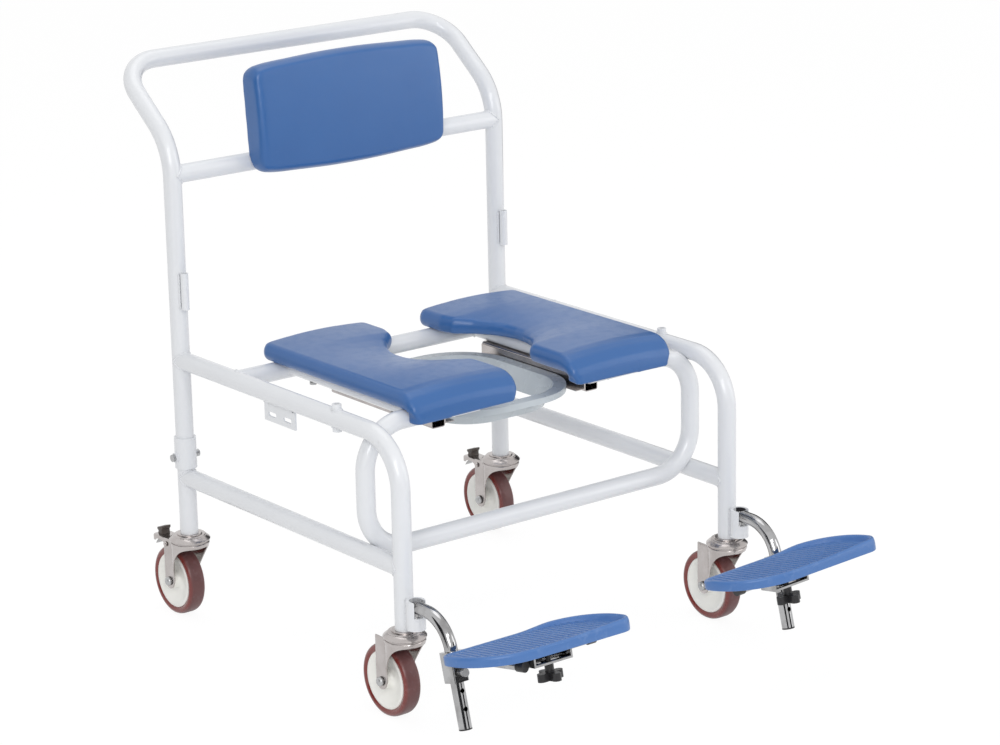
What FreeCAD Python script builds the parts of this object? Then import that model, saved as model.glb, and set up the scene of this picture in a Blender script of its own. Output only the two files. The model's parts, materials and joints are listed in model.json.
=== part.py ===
import FreeCAD, Part
import math
import os

# Shower commode wheelchair for heavy users, in millimetres.
# The floor is Z 0, the front is towards -Y and the rear legs stand at Y 0.
# Every piece is shifted along Y on export, so that the origin is the middle of the footprint.
# Words such as ahead give a distance from the rear legs towards the front.

# Fits and clearances
weld_gap = 0.2            # between a coped tube end and the tube it is welded to
run_gap = 0.05            # radial, a pin or shaft that turns or slides in its bore
plug_gap = 0.05           # radial, a spigot or plug pressed into a tube
seat_gap = 0.3            # under pads and between faces that slide past each other
hole_gap = 0.2            # radial, around a bolt

# Welded frame of round tube
tube_d = 32.0
tube_wall = 2.0
frame_width = 700.0       # between the centre lines of the two sides
wheel_base = 644.0        # rear legs to front legs
seat_rail_z = 478.0       # centre of the upper rails and of the seat frame
lower_rail_z = 264.0
front_bend = 85.0         # centre-line radius of the upper rail into the front leg
loop_ahead = 547.0        # front loop ahead of the rear legs
loop_bend = 76.0
loop_gap = 240.0          # between the two upper ends of the loop
loop_bite = 0.6           # depth of the saddle where a loop corner meets a rail
rear_tube_ahead = 172.0   # rear tube of the seat frame

# Push bow: both uprights, the knees and the handle are one bent tube
knee_z = 857.0
knee_bend = 110.0
handle_z = 980.0
handle_behind = 158.5     # handle bar behind the uprights
handle_bend = 72.0
cross_tube_z = 808.0      # tube that carries the back pad
joint_z = 290.0           # lower end of the bow, on the spigots of the rear legs
spigot_length = 50.0
spigot_wall = 3.0
shoulder = 12.0           # length over which the spigot is welded into the leg
collar_low_z = 282.0
collar_height = 56.0
collar_wall = 3.5
collar_bolt_z = 303.0
collar_bolt_d = 8.0
collar_bolt_head_d = 13.0
collar_bolt_head = 5.0
collar_nut = 6.5
collar_boss_d = 17.0
collar_boss_length = 4.0

# Seat frame bearers and the rails for the pan
inner_bearer_x = 165.0
bearer_inset = 40.0       # outer bearers inwards of the pads' outer edge
outer_bearer_d = 25.0
pan_rail_width = 28.0
pan_rail_height = 31.0
pan_rail_wall = 1.5
pan_rail_corner = 4.0
pan_rail_rear_gap = 39.0  # rail ends short of the rear seat tube
pan_rail_front_gap = 47.0  # rail ends short of the front loop
ledge_rise = 5.0          # ledge above the underside of the rail
ledge_reach = 20.0        # ledge inwards of the rail

# Pan ring that hangs between the ledges
ring_ahead = 350.0
ring_half_width = 147.0
ring_half_length = 175.0
ring_corner = 110.0
ring_height = 10.7        # rim lip
ring_wall = 4.0
ring_flange = 22.0
ring_funnel_in = 20.0     # how far the funnel draws in
ring_funnel_depth = 35.0

# Seat pads
pad_inner_x = 56.0
pad_side_gap = 72.0       # pad to the centre line of the side tube
pad_thickness = 36.0
pad_rear_overlap = 31.0   # pad reaches behind the centre of the rear seat tube
pad_lip = 24.0            # thickness of the lip in front of the loop
pad_lip_drop = 20.0       # lip below the base of the pad
pad_lip_rise = 6.5        # inner end of the lip above its outer end
pad_draw = 8.0            # lower edge drawn in
pad_edge = 13.0
pad_crown = 5.0
pad_corner = 17.0         # corners seen from above
pad_front_round = 45.0
pad_dish = 8.0            # slope of the top towards the aperture
aperture_ahead = 345.0
aperture_r = 124.0
aperture_ease = 16.0      # rounding where the bay leaves the straight inner edge
pad_stations = 16         # sections between the rounded ends
pad_rear_shares = (0.0, 0.08, 0.3, 0.65)
pad_front_shares = (0.7, 0.4, 0.15, 0.04, 0.0)
pad_screw_d = 6.0
pad_screw_head_d = 12.0
pad_screw_head = 4.0
pad_screw_grip = 18.0
pad_screw_inset = 70.0    # screws from the ends of the outer bearers

# Back pad
back_width = 397.0
back_mid_height = 203.0
back_end_height = 183.0
back_depth = 50.0
back_below = 26.5         # pad below the centre of the cross tube
back_behind = -9.0        # rear face behind the centre of the cross tube
back_tilt = 5.0
back_corner = 18.0
back_edge = 10.0
back_draw = 8.0
back_crown = 5.0
back_stations = 7
back_end_shares = (0.0, 0.04, 0.15, 0.4, 0.7)
clip_x = 95.0
clip_width = 25.0
clip_wall = 2.5
clip_ear = 18.0
clip_screw_d = 5.0
clip_screw_head_d = 10.0
clip_screw_head = 3.0
clip_screw_grip = 18.0

# Fittings on the frame
armrest_low_z = 573.0
armrest_length = 65.0
armrest_od = 14.0
armrest_bore_d = 10.0
plate_ahead_mid = 305.5   # accessory plate under the upper rail
plate_length = 91.0
plate_depth = 33.0
plate_sheet = 3.0
plate_slot_length = 24.0
plate_slot_width = 8.0
plate_slot_spacing = 45.0
plate_slot_drop = 20.0    # slot centres below the top edge
bush_ahead = 472.0
bush_od = 16.0
bush_bore_d = 10.0
bush_above = 25.0         # bush above and below the centre of the rail
bush_below = 22.0

# Castors
wheel_d = 125.0
wheel_width = 32.0
tread_round = 7.0
tyre_depth = 12.5
hub_width = 29.0
hub_rim = 6.0
hub_web = 8.0
hub_boss_d = 28.0
hub_dish_d = 36.0         # flat web around the boss
castor_trail = 40.0
axle_d = 12.0
axle_head_d = 16.0
axle_head = 5.0
fork_inside = 40.0        # between the arms
fork_sheet = 3.0
fork_foot_r = 14.0        # rounded foot of an arm around the axle
arm_sweep = 0.16          # hollow of the arch, as a share of its chord
skirt_front = 1.0         # skirt below the crown at the front
crown_rear = 54.0
crown_clearance = 13.0    # wheel to crown
race_d = 70.0
race_height = 5.5
race_gap = 0.5
cup_d = 73.0
cup_height = 9.0
cup_rim = 3.0
flange_d = 58.0
flange_height = 4.0
collet_d = 45.0           # upper step of the flange
stem_length = 40.0
kingpin_d = 12.0
kingpin_nut_d = 20.0
kingpin_nut = 6.5

# Brakes of the rear castors
brake_pin_y = 46.0
brake_pin_d = 6.0
brake_pin_drop = 10.0     # below the top of the crown
brake_side_gap = 3.0      # lever to the arms of the fork
brake_sheet = 2.5
brake_front = 42.0
brake_rear = 100.0
brake_drop = 1.5          # roof of the lever below the underside of the crown
brake_height = 11.0
shoe_front = 58.0
shoe_thickness = 4.0
shoe_above = 0.5          # above the highest point of the tyre
shoe_width = 17.0
tongue_root = 24.0        # ahead of the rear end of the lever
tongue_drop = 19.0
tongue_reach = 25.0
tongue_width = 24.0
pedal_width = 18.0
pedal_depth = 13.0
pedal_height = 16.5
pedal_behind = 8.0        # rear end of the lever behind the pedal
pedal_waist = 10.0
pedal_waist_z = 6.0
pedal_head = 17.0
pedal_head_edge = 4.0
pedal_fall = 5.0          # head lower at its rear end

# Footrest sockets and hangers
hanger_d = 22.0
hanger_wall = 2.0
socket_d = 32.0
socket_low_z = 169.0
socket_length = 49.0
socket_floor = 4.0
socket_drain_d = 8.0
notch_below = 5.0         # notch below the arm of the hanger
hanger_reach = 80.4       # post to the corner of the hanger
hanger_lean = 14.9
hanger_bend = 66.0
hanger_leg = 177.0        # corner to the lower end
plug_length = 12.0
plug_flange = 2.5
hole_d = 8.0
hole_pitch = 30.0
hole_count = 3
first_hole = 85.4         # from the corner, along the leg
sleeve_side = 30.0
sleeve_length = 50.0
sleeve_round = 3.0
clamp_d = 8.0
clamp_head_d = 14.0
clamp_head = 6.0
clamp_neck = 8.0

# Foot plates, in a frame of their own: the top of the rim at the middle of the plate
foot_inset = 79.0         # middle of the plate inwards of the side tubes
foot_ahead = 246.0        # ahead of the front legs
foot_z = 197.0
foot_tilt = 10.0
foot_roll = {"left": 0.0, "right": 2.7}     # right-hand end higher
foot_lift = {"left": 0.0, "right": 4.0}     # middle of the plate above foot_z
foot_length = 300.0
foot_depth = 128.0
foot_thickness = 17.0
foot_small_corner = 24.0
foot_end_flat = 4.0       # straight part of the short ends, between a small and a large corner
foot_edge = 3.0
foot_rim = 9.0
foot_recess = 4.0
foot_rib_pitch = 10.0
foot_rib_width = 4.0
foot_rib_height = 1.0
foot_end_rise = 6.0       # rim rises towards the right-hand end
foot_end_start = 20.0
foot_boss_d = 26.0
foot_boss = 3.0
foot_travel = 20.0
stud_d = 8.0
stud_depth = 9.0          # stud inside the plate

# Carrier bars under the plates, in the frame of the plate
bar_d = 16.0
bar_wall = 1.5
link_length = 77.0
link_height = 20.0
link_wall = 3.5
link_half_depth = 14.0
cap_wall = 1.6
cap_length = 12.0
cap_end = 2.5
neck_start = 59.0         # from the hanger corner, along the leg
knob_neck_d = 15.0
knob_neck = 15.0
knob_span = 48.0
knob_lobe_d = 15.0
knob_height = 13.0

tube_r = tube_d / 2
bore_r = tube_r - tube_wall
cope_r = tube_r + weld_gap
side_x = frame_width / 2
sides = {"left": -1, "right": 1}
leg_end_z = wheel_d + crown_clearance + fork_sheet + race_height + race_gap + cup_height + flange_height
pad_base_z = seat_rail_z + tube_r + seat_gap
arm_z = socket_low_z + socket_length - hanger_d / 2
post_y = -(wheel_base + tube_r + weld_gap + socket_d / 2)
foot_x = side_x - foot_inset
foot_big_corner = foot_depth - foot_small_corner - foot_end_flat
pad_outer_x = side_x - pad_side_gap
outer_bearer_x = pad_outer_x - bearer_inset

# Where the bolt, the link and the bars lie on each side; the two sides are not mirror images
bolt_place = {"left": (4.0, -17.0), "right": (-17.0, -2.0)}
bar_place = {"left": (15.8, -31.8), "right": (25.3, -28.0)}
bar_inner_end = {"left": 121.0, "right": -102.0}
left_neck_end = (-45.0, -18.0, -35.7)
right_bar_bend = (109.0, 133.0)
right_bar_swing = 17.0    # outer end of the right bar, forwards
bar_bend = 40.0


def vec(x, y, z):
    return FreeCAD.Vector(x, y, z)


def cylinder(low, high, radius):
    return Part.makeCylinder(radius, low.distanceToPoint(high), low, high - low)


def pipe(low, high, outer, inner):
    return cylinder(low, high, outer).cut(cylinder(low, high, inner))


def block(x, y, z):
    corner = vec(min(x), min(y), min(z))
    return Part.makeBox(abs(x[1] - x[0]), abs(y[1] - y[0]), abs(z[1] - z[0]), corner)


def mirrored(shape):
    return shape.mirror(vec(0, 0, 0), vec(1, 0, 0))


def joined(first, *others):
    return first.fuse(list(others)).removeSplitter()


# Straight runs between the points, with a tangent arc at each corner
def bent_wire(points, bends):
    edges = []
    start = points[0]
    for before, corner, after, bend in zip(points, points[1:], points[2:], bends):
        back = (before - corner).normalize()
        onward = (after - corner).normalize()
        half = back.getAngle(onward) / 2
        reach = bend / math.tan(half)
        arc_start = corner + back * reach
        arc_end = corner + onward * reach
        inward = (back + onward).normalize()
        arc_middle = corner + inward * (bend / math.sin(half) - bend)
        edges.append(Part.LineSegment(start, arc_start).toShape())
        edges.append(Part.Arc(arc_start, arc_middle, arc_end).toShape())
        start = arc_end
    edges.append(Part.LineSegment(start, points[-1]).toShape())
    return Part.Wire(edges)


def bent_rod(points, bends, radius):
    ring = Part.Circle(points[0], points[1] - points[0], radius).toShape()
    return bent_wire(points, bends).makePipeShell([Part.Wire(ring)], True, False)


def bent_tube(points, bends, radius, wall):
    return bent_rod(points, bends, radius).cut(bent_rod(points, bends, radius - wall))


# Rounded rectangle; the corners run rear left, front left, front right, rear right
def outline(half_x, half_y, radii, z=0.0, middle=(0.0, 0.0)):
    x, y = middle
    corners = [(-half_x, half_y), (-half_x, -half_y), (half_x, -half_y), (half_x, half_y)]
    points = [vec(x + across, y + along, z) for across, along in corners]
    start = (points[0] + points[3]) * 0.5
    return bent_wire([start] + points + [start], radii)


def prism(wire, height):
    return Part.Face(wire).extrude(vec(0, 0, height))


# How far a rounded end has drawn in at a distance from its tip
def end_in(distance, radius):
    if distance >= radius:
        return 0.0
    return radius - math.sqrt(radius ** 2 - (radius - distance) ** 2)


def line(start, end):
    return Part.LineSegment(start, end).toShape()


def arc(start, middle, end):
    return Part.Arc(start, middle, end).toShape()


# Rods along the centre lines of the frame; with the cope radius they cut the tubes that meet them
def bow_points():
    half = [vec(side_x, 0, joint_z), vec(side_x, 0, knee_z), vec(side_x, handle_behind, handle_z)]
    other = [vec(-point.x, point.y, point.z) for point in reversed(half)]
    return half + other


bow_bends = [knee_bend, handle_bend, handle_bend, knee_bend]


def rear_leg_rod(side, radius):
    return cylinder(vec(side * side_x, 0, leg_end_z), vec(side * side_x, 0, knee_z), radius)


def side_points(side):
    x = side * side_x
    return [vec(x, 0, seat_rail_z), vec(x, -wheel_base, seat_rail_z), vec(x, -wheel_base, leg_end_z)]


def side_rod(side, radius):
    return bent_rod(side_points(side), [front_bend], radius)


def lower_ends(side):
    return vec(side * side_x, 0, lower_rail_z), vec(side * side_x, -wheel_base, lower_rail_z)


def rear_seat_ends():
    return vec(-side_x, -rear_tube_ahead, seat_rail_z), vec(side_x, -rear_tube_ahead, seat_rail_z)


# The loop's corners bear on the rails, so its half width follows from the tube and the bend
def loop_half_width():
    centre_to_rail = loop_bend + tube_d - loop_bite
    return side_x - math.sqrt(centre_to_rail ** 2 - loop_bend ** 2) + loop_bend


# One bent tube: it starts under one pad, runs down, across and up, and ends under the other
def loop_rod(radius, end_wall=0.0):
    x = loop_half_width()
    y = -loop_ahead
    start = loop_gap / 2 + end_wall
    half = [vec(start, y, seat_rail_z), vec(x, y, seat_rail_z), vec(x, y, lower_rail_z)]
    other = [vec(-point.x, point.y, point.z) for point in reversed(half)]
    return bent_rod(half + other, [loop_bend] * 4, radius)


def make_push_bow():
    bow = bent_tube(bow_points(), bow_bends, tube_r, tube_wall)
    return bow.cut([collar_bolt_hole(side) for side in sides.values()])


def collar_bolt_hole(side):
    reach = tube_r + collar_wall + collar_boss_length
    x = side * side_x
    low = vec(x - reach, 0, collar_bolt_z)
    high = vec(x + reach, 0, collar_bolt_z)
    return cylinder(low, high, collar_bolt_d / 2 + hole_gap)


def make_rear_leg(side):
    x = side * side_x
    spigot_r = bore_r - plug_gap
    root = joint_z - shoulder
    leg = pipe(vec(x, 0, leg_end_z), vec(x, 0, joint_z), tube_r, bore_r)
    root_ring = pipe(vec(x, 0, root), vec(x, 0, joint_z), tube_r, spigot_r - spigot_wall)
    spigot = pipe(vec(x, 0, root), vec(x, 0, joint_z + spigot_length), spigot_r, spigot_r - spigot_wall)
    return joined(leg, root_ring, spigot).cut(collar_bolt_hole(side))


def make_collar(side):
    x = side * side_x
    outer = tube_r + collar_wall
    low = vec(x, 0, collar_low_z)
    high = vec(x, 0, collar_low_z + collar_height)
    body = cylinder(low, high, outer)
    boss_end = vec(x + side * (outer + collar_boss_length), 0, collar_bolt_z)
    boss = cylinder(vec(x, 0, collar_bolt_z), boss_end, collar_boss_d / 2)
    bore = cylinder(low, high, tube_r + run_gap)
    return joined(body, boss).cut([bore, collar_bolt_hole(side)])


# Bolt with its head on the boss and a nut on the inner side of the collar
def make_collar_bolt(side):
    x = side * side_x
    head_x = x + side * (tube_r + collar_wall + collar_boss_length)
    nut_x = x - side * (tube_r + collar_wall + seat_gap)
    under_head = vec(head_x, 0, collar_bolt_z)
    under_nut = vec(nut_x, 0, collar_bolt_z)
    shank = cylinder(under_head, under_nut, collar_bolt_d / 2)
    head = cylinder(under_head, under_head + vec(side * collar_bolt_head, 0, 0), collar_bolt_head_d / 2)
    nut = cylinder(under_nut, under_nut - vec(side * collar_nut, 0, 0), collar_bolt_head_d / 2)
    return joined(shank, head, nut)


def make_side_tube(side):
    tube = bent_tube(side_points(side), [front_bend], tube_r, tube_wall)
    bush_hole = cylinder(*bush_ends(side), bush_od / 2 + weld_gap)
    return tube.cut([rear_leg_rod(side, cope_r), bush_hole])


def make_lower_rail(side):
    start, end = lower_ends(side)
    front_leg = cylinder(vec(end.x, end.y, leg_end_z), vec(end.x, end.y, seat_rail_z), cope_r)
    return pipe(start, end, tube_r, bore_r).cut([rear_leg_rod(side, cope_r), front_leg])


def make_front_loop():
    loop = loop_rod(tube_r).cut(loop_rod(bore_r, tube_wall))
    rails = []
    for side in sides.values():
        rails.append(side_rod(side, cope_r))
        rails.append(cylinder(*lower_ends(side), cope_r))
    return loop.cut(rails)


def make_rear_seat_tube():
    start, end = rear_seat_ends()
    tube = pipe(start, end, tube_r, bore_r)
    holes = [screw_hole(place, tube_r) for place in rear_screw_places()]
    return tube.cut([side_rod(side, cope_r) for side in sides.values()] + holes)


def outer_bearer_z():
    return seat_rail_z + tube_r - outer_bearer_d / 2


def make_bearer(x, z, radius):
    tube = pipe(vec(x, -rear_tube_ahead, z), vec(x, -loop_ahead, z), radius, radius - tube_wall)
    return tube.cut([cylinder(*rear_seat_ends(), cope_r), loop_rod(cope_r)])


def make_bearers():
    bearers = []
    for side in sides.values():
        bearers.append(make_bearer(side * inner_bearer_x, seat_rail_z, tube_r))
        outer = make_bearer(side * outer_bearer_x, outer_bearer_z(), outer_bearer_d / 2)
        holes = [screw_hole(place, outer_bearer_d / 2) for place in bearer_screw_places()]
        bearers.append(outer.cut(holes))
    return bearers


def make_cross_tube():
    start = vec(-side_x, 0, cross_tube_z)
    end = vec(side_x, 0, cross_tube_z)
    return pipe(start, end, tube_r, bore_r).cut(bent_rod(bow_points(), bow_bends, cope_r))


# Rectangular hollow rail under an inner bearer, with a folded ledge on its inner face
def make_pan_rail(side):
    top = seat_rail_z - tube_r - seat_gap
    low = top - pan_rail_height
    half = pan_rail_width / 2
    rear = -(rear_tube_ahead + pan_rail_rear_gap)
    front = -(loop_ahead - pan_rail_front_gap)
    length = rear - front
    inner = pan_rail_corner - pan_rail_wall
    outside = outline(half, pan_rail_height / 2, [pan_rail_corner] * 4)
    inside = outline(half - pan_rail_wall, pan_rail_height / 2 - pan_rail_wall, [inner] * 4)
    rail = prism(outside, length).cut(prism(inside, length))
    rail.rotate(vec(0, 0, 0), vec(1, 0, 0), 90)
    rail.translate(vec(inner_bearer_x, rear, (top + low) / 2))
    face = inner_bearer_x - half
    ledge_low = low + ledge_rise
    hanger = block((face - pan_rail_wall, face), (rear, front), (ledge_low, top - pan_rail_corner))
    ledge = block((face - ledge_reach, face), (rear, front), (ledge_low, ledge_low + pan_rail_wall))
    whole = joined(rail, hanger, ledge)
    return whole if side > 0 else mirrored(whole)


def ledge_top_z():
    return seat_rail_z - tube_r - seat_gap - pan_rail_height + ledge_rise + pan_rail_wall


def ring_top_z():
    return ledge_top_z() + seat_gap + ring_height


def ring_outline(inset, z):
    radius = ring_corner - inset
    middle = (0.0, -ring_ahead)
    return outline(ring_half_width - inset, ring_half_length - inset, [radius] * 4, z, middle)


# Moulded ring: a flat rim with a lip outside and a funnel inside, open at the bottom
def make_pan_ring():
    top = ring_top_z()
    low = top - ring_height
    throat = top - ring_funnel_depth
    rim = prism(ring_outline(0, low), ring_height)
    hollow = prism(ring_outline(ring_wall, low), ring_height - ring_wall)
    outer = ring_funnel(-ring_wall, throat, top)
    inner = ring_funnel(0, throat, top)
    return joined(rim.cut(hollow), outer).cut(inner)


def ring_funnel(inset, throat, top):
    mouth = ring_flange + inset
    neck = mouth + ring_funnel_in
    return Part.makeLoft([ring_outline(neck, throat), ring_outline(mouth, top)], True, True)


def aperture_edge(y):
    offset = y + aperture_ahead
    bay = -pad_inner_x
    if abs(offset) < aperture_r:
        bay = math.sqrt(aperture_r ** 2 - offset ** 2) - pad_inner_x
    return pad_inner_x + (bay + math.sqrt(bay ** 2 + aperture_ease ** 2)) / 2


# Section of the right-hand pad across X, at a distance from its rear and from its front end
def pad_section(from_rear, from_front):
    y = -(rear_tube_ahead - pad_rear_overlap) - from_rear
    corner = max(end_in(from_rear, pad_corner), end_in(from_front, pad_corner))
    top = pad_base_z + pad_thickness
    top -= max(end_in(from_rear, pad_edge), end_in(from_front, pad_front_round))
    low = pad_base_z - pad_lip_drop
    side_top = top - pad_crown
    full_side = pad_thickness - pad_crown
    base = low + (side_top - low) * pad_lip_drop / (full_side + pad_lip_drop)
    swell = (side_top - base) / full_side
    outer = pad_outer_x - corner
    edge = aperture_edge(y)
    inner = edge + corner
    dish = pad_dish * (edge - pad_inner_x) / (aperture_r - pad_inner_x)
    middle = (base + side_top) / 2
    low_in = vec(inner + pad_draw * swell, y, low + pad_lip_rise * swell)
    low_out = vec(outer - pad_draw * swell, y, low)
    base_out = vec(low_out.x, y, base)
    base_in = vec(low_in.x, y, base)
    top_out = vec(outer - pad_draw * swell, y, side_top)
    top_in = vec(inner + pad_draw * swell, y, side_top - dish)
    crown = vec((top_out.x + top_in.x) / 2, y, top - dish / 2)
    return Part.Wire([
        line(low_in, low_out),
        line(low_out, base_out),
        arc(base_out, vec(outer, y, middle), top_out),
        arc(top_out, crown, top_in),
        arc(top_in, vec(inner, y, middle - dish / 2), base_in),
        line(base_in, low_in),
    ])


def seat_pad_length():
    return loop_ahead + tube_r + seat_gap + pad_lip - rear_tube_ahead + pad_rear_overlap


def make_seat_pad(side):
    length = seat_pad_length()
    rear = [pad_corner * share for share in pad_rear_shares]
    front = [length - pad_front_round * share for share in pad_front_shares]
    first = pad_corner
    last = length - pad_front_round
    step = (last - first) / (pad_stations - 1)
    stations = rear + [first + step * index for index in range(pad_stations)] + front
    pad = Part.makeLoft([pad_section(place, length - place) for place in stations], True, True)
    lip_back = -(loop_ahead + tube_r + seat_gap)
    under = block((0, 2 * pad_outer_x), (0, lip_back), (0, pad_base_z))
    places = bearer_screw_places() + rear_screw_places()
    holes = [cylinder(vec(x, y, 0), vec(x, y, pad_base_z + pad_screw_grip), pad_screw_d / 2 + hole_gap)
             for x, y, z in places]
    pad = pad.cut([under] + holes)
    return pad if side > 0 else mirrored(pad)


# Screws come up through the outer bearers and the rear tube into the pads
def bearer_screw_places():
    ends = [rear_tube_ahead + pad_screw_inset, loop_ahead - pad_screw_inset]
    return [(side * outer_bearer_x, -ahead, outer_bearer_z()) for side in sides.values() for ahead in ends]


def rear_screw_places():
    x = (inner_bearer_x + outer_bearer_x) / 2
    return [(side * x, -rear_tube_ahead, seat_rail_z) for side in sides.values()]


def screw_hole(place, radius):
    x, y, z = place
    return cylinder(vec(x, y, z - radius), vec(x, y, z + radius), pad_screw_d / 2 + hole_gap)


def make_pad_screw(place, radius):
    x, y, z = place
    seat = vec(x, y, z - radius - seat_gap)
    shank = cylinder(seat, vec(x, y, pad_base_z + pad_screw_grip), pad_screw_d / 2)
    head = cylinder(seat - vec(0, 0, pad_screw_head), seat, pad_screw_head_d / 2)
    return joined(shank, head)


def make_pad_screws():
    screws = [make_pad_screw(place, outer_bearer_d / 2) for place in bearer_screw_places()]
    return screws + [make_pad_screw(place, tube_r) for place in rear_screw_places()]


# The back pad and its clips are drawn around the cross tube, then leaned back
def leaned(shape):
    shape.rotate(vec(0, 0, 0), vec(1, 0, 0), -back_tilt)
    shape.translate(vec(0, 0, cross_tube_z))
    return shape


def back_section(x):
    half_width = back_width / 2
    from_end = half_width - abs(x)
    bow = (back_mid_height - back_end_height) * (x / half_width) ** 2
    half = (back_mid_height - bow) / 2 - end_in(from_end, back_corner)
    middle = back_mid_height / 2 - back_below
    rear = back_behind - end_in(from_end, back_edge) / 2
    face = back_behind - back_depth + end_in(from_end, back_edge)
    side = face + back_crown
    bulge = (rear + side) / 2
    top_rear = vec(x, rear, middle + half - back_draw)
    low_rear = vec(x, rear, middle - half + back_draw)
    top_face = vec(x, side, middle + half - back_draw)
    low_face = vec(x, side, middle - half + back_draw)
    return Part.Wire([
        line(low_rear, top_rear),
        arc(top_rear, vec(x, bulge, middle + half), top_face),
        arc(top_face, vec(x, face, middle), low_face),
        arc(low_face, vec(x, bulge, middle - half), low_rear),
    ])


def make_back_pad():
    half_width = back_width / 2
    ends = [half_width - back_corner * share for share in back_end_shares]
    inside = half_width - back_corner
    step = 2 * inside / (back_stations - 1)
    middle = [inside - step * index for index in range(back_stations)]
    stations = ends + middle + [-x for x in reversed(ends)]
    pad = Part.makeLoft([back_section(x) for x in stations], True, False)
    groove = cylinder(vec(-back_width, 0, 0), vec(back_width, 0, 0), tube_r + seat_gap)
    holes = [clip_screw_hole(side * clip_x, back_behind) for side in sides.values()]
    return leaned(pad.cut([groove] + holes))


def clip_screw_z():
    return tube_r + clip_wall + clip_ear / 2


def clip_screw_hole(x, behind):
    start = vec(x, behind - clip_screw_grip, clip_screw_z())
    end = vec(x, behind + clip_wall + seat_gap, clip_screw_z())
    return cylinder(start, end, clip_screw_d / 2 + hole_gap)


# Clip of bent strip: round the back of the cross tube, with an ear screwed to the pad above it
def make_back_clip(x):
    half = clip_width / 2
    start = vec(x - half, 0, 0)
    end = vec(x + half, 0, 0)
    inner = tube_r + seat_gap
    face = back_behind + seat_gap
    hoop = pipe(start, end, inner + clip_wall, inner)
    behind = block((x - half, x + half), (face, 2 * tube_d), (-tube_d, tube_d))
    top = tube_r + clip_wall + clip_ear
    ear = block((x - half, x + half), (face, face + clip_wall), (inner + clip_wall / 2, top))
    clip = joined(hoop.common(behind), ear).cut(clip_screw_hole(x, face))
    return leaned(clip)


def make_clip_screw(x):
    seat = vec(x, back_behind + seat_gap + clip_wall, clip_screw_z())
    tip = vec(x, back_behind - clip_screw_grip + seat_gap, clip_screw_z())
    shank = cylinder(tip, seat, clip_screw_d / 2)
    head = cylinder(seat, seat + vec(0, clip_screw_head, 0), clip_screw_head_d / 2)
    return leaned(joined(shank, head))


def make_armrest_socket(side):
    y = -(tube_r + weld_gap + armrest_od / 2)
    low = vec(side * side_x, y, armrest_low_z)
    high = low + vec(0, 0, armrest_length)
    return pipe(low, high, armrest_od / 2, armrest_bore_d / 2)


def slot_ahead(index):
    return plate_ahead_mid + (index - 0.5) * plate_slot_spacing


def make_accessory_plate(side):
    x = side * side_x
    top = seat_rail_z - tube_r - weld_gap
    half = plate_length / 2
    thick = (x - plate_sheet / 2, x + plate_sheet / 2)
    plate = block(thick, (-plate_ahead_mid - half, -plate_ahead_mid + half), (top - plate_depth, top))
    radius = plate_slot_width / 2
    straight = (plate_slot_length - plate_slot_width) / 2
    slots = []
    for index in range(2):
        middle = -slot_ahead(index)
        z = top - plate_slot_drop
        slots.append(block(thick, (middle - straight, middle + straight), (z - radius, z + radius)))
        for end in (middle - straight, middle + straight):
            slots.append(cylinder(vec(thick[0], end, z), vec(thick[1], end, z), radius))
    return plate.cut(slots)


def bush_ends(side):
    low = vec(side * side_x, -bush_ahead, seat_rail_z - bush_below)
    return low, low + vec(0, 0, bush_above + bush_below)


def make_rail_bush(side):
    return pipe(*bush_ends(side), bush_od / 2, bush_bore_d / 2)


# Castors, drawn around their swivel axis at X 0 and Y 0 with the wheel trailing behind
axle_y = castor_trail
axle_z = wheel_d / 2
crown_low = wheel_d + crown_clearance
crown_top = crown_low + fork_sheet
race_top = crown_top + race_height
arm_in = fork_inside / 2
arm_out = arm_in + fork_sheet


def wheel_cylinder(half_width, radius):
    return cylinder(vec(-half_width, axle_y, axle_z), vec(half_width, axle_y, axle_z), radius)


def make_stem():
    cup_low = race_top + race_gap
    plug = cylinder(vec(0, 0, leg_end_z), vec(0, 0, leg_end_z + stem_length), bore_r - plug_gap)
    cup_top = cup_low + cup_height
    step = leg_end_z - flange_height / 2
    collet = cylinder(vec(0, 0, cup_top), vec(0, 0, leg_end_z), collet_d / 2)
    flange = cylinder(vec(0, 0, cup_top), vec(0, 0, step), flange_d / 2)
    rim = cylinder(vec(0, 0, cup_low), vec(0, 0, cup_low + cup_rim), cup_d / 2)
    cone = Part.makeCone(cup_d / 2, flange_d / 2, cup_height - cup_rim, vec(0, 0, cup_low + cup_rim))
    nut_top = crown_low - seat_gap
    pin = cylinder(vec(0, 0, nut_top), vec(0, 0, cup_low), kingpin_d / 2)
    nut = cylinder(vec(0, 0, nut_top - kingpin_nut), vec(0, 0, nut_top), kingpin_nut_d / 2)
    return joined(plug, collet, flange, cone, rim, pin, nut)


# Side view of the fork: straight at the rear, arched from the axle to the front of the crown
def make_fork_profile():
    foot = fork_foot_r
    x = -race_d / 2
    front = -race_d / 2
    rear_low = vec(x, axle_y + foot, axle_z)
    front_low = vec(x, axle_y - foot, axle_z)
    under = vec(x, axle_y, axle_z - foot)
    rear_top = vec(x, crown_rear, crown_top)
    front_top = vec(x, front, crown_top)
    front_edge = vec(x, front, crown_low - skirt_front)
    chord = front_edge - front_low
    hollow = vec(0, chord.z, -chord.y).normalize() * (arm_sweep * chord.Length)
    sweep = front_low + chord * 0.5 + hollow
    wire = Part.Wire([
        arc(rear_low, under, front_low),
        arc(front_low, sweep, front_edge),
        line(front_edge, front_top),
        line(front_top, rear_top),
        line(rear_top, rear_low),
    ])
    return Part.Face(wire).extrude(vec(race_d, 0, 0))


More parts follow.
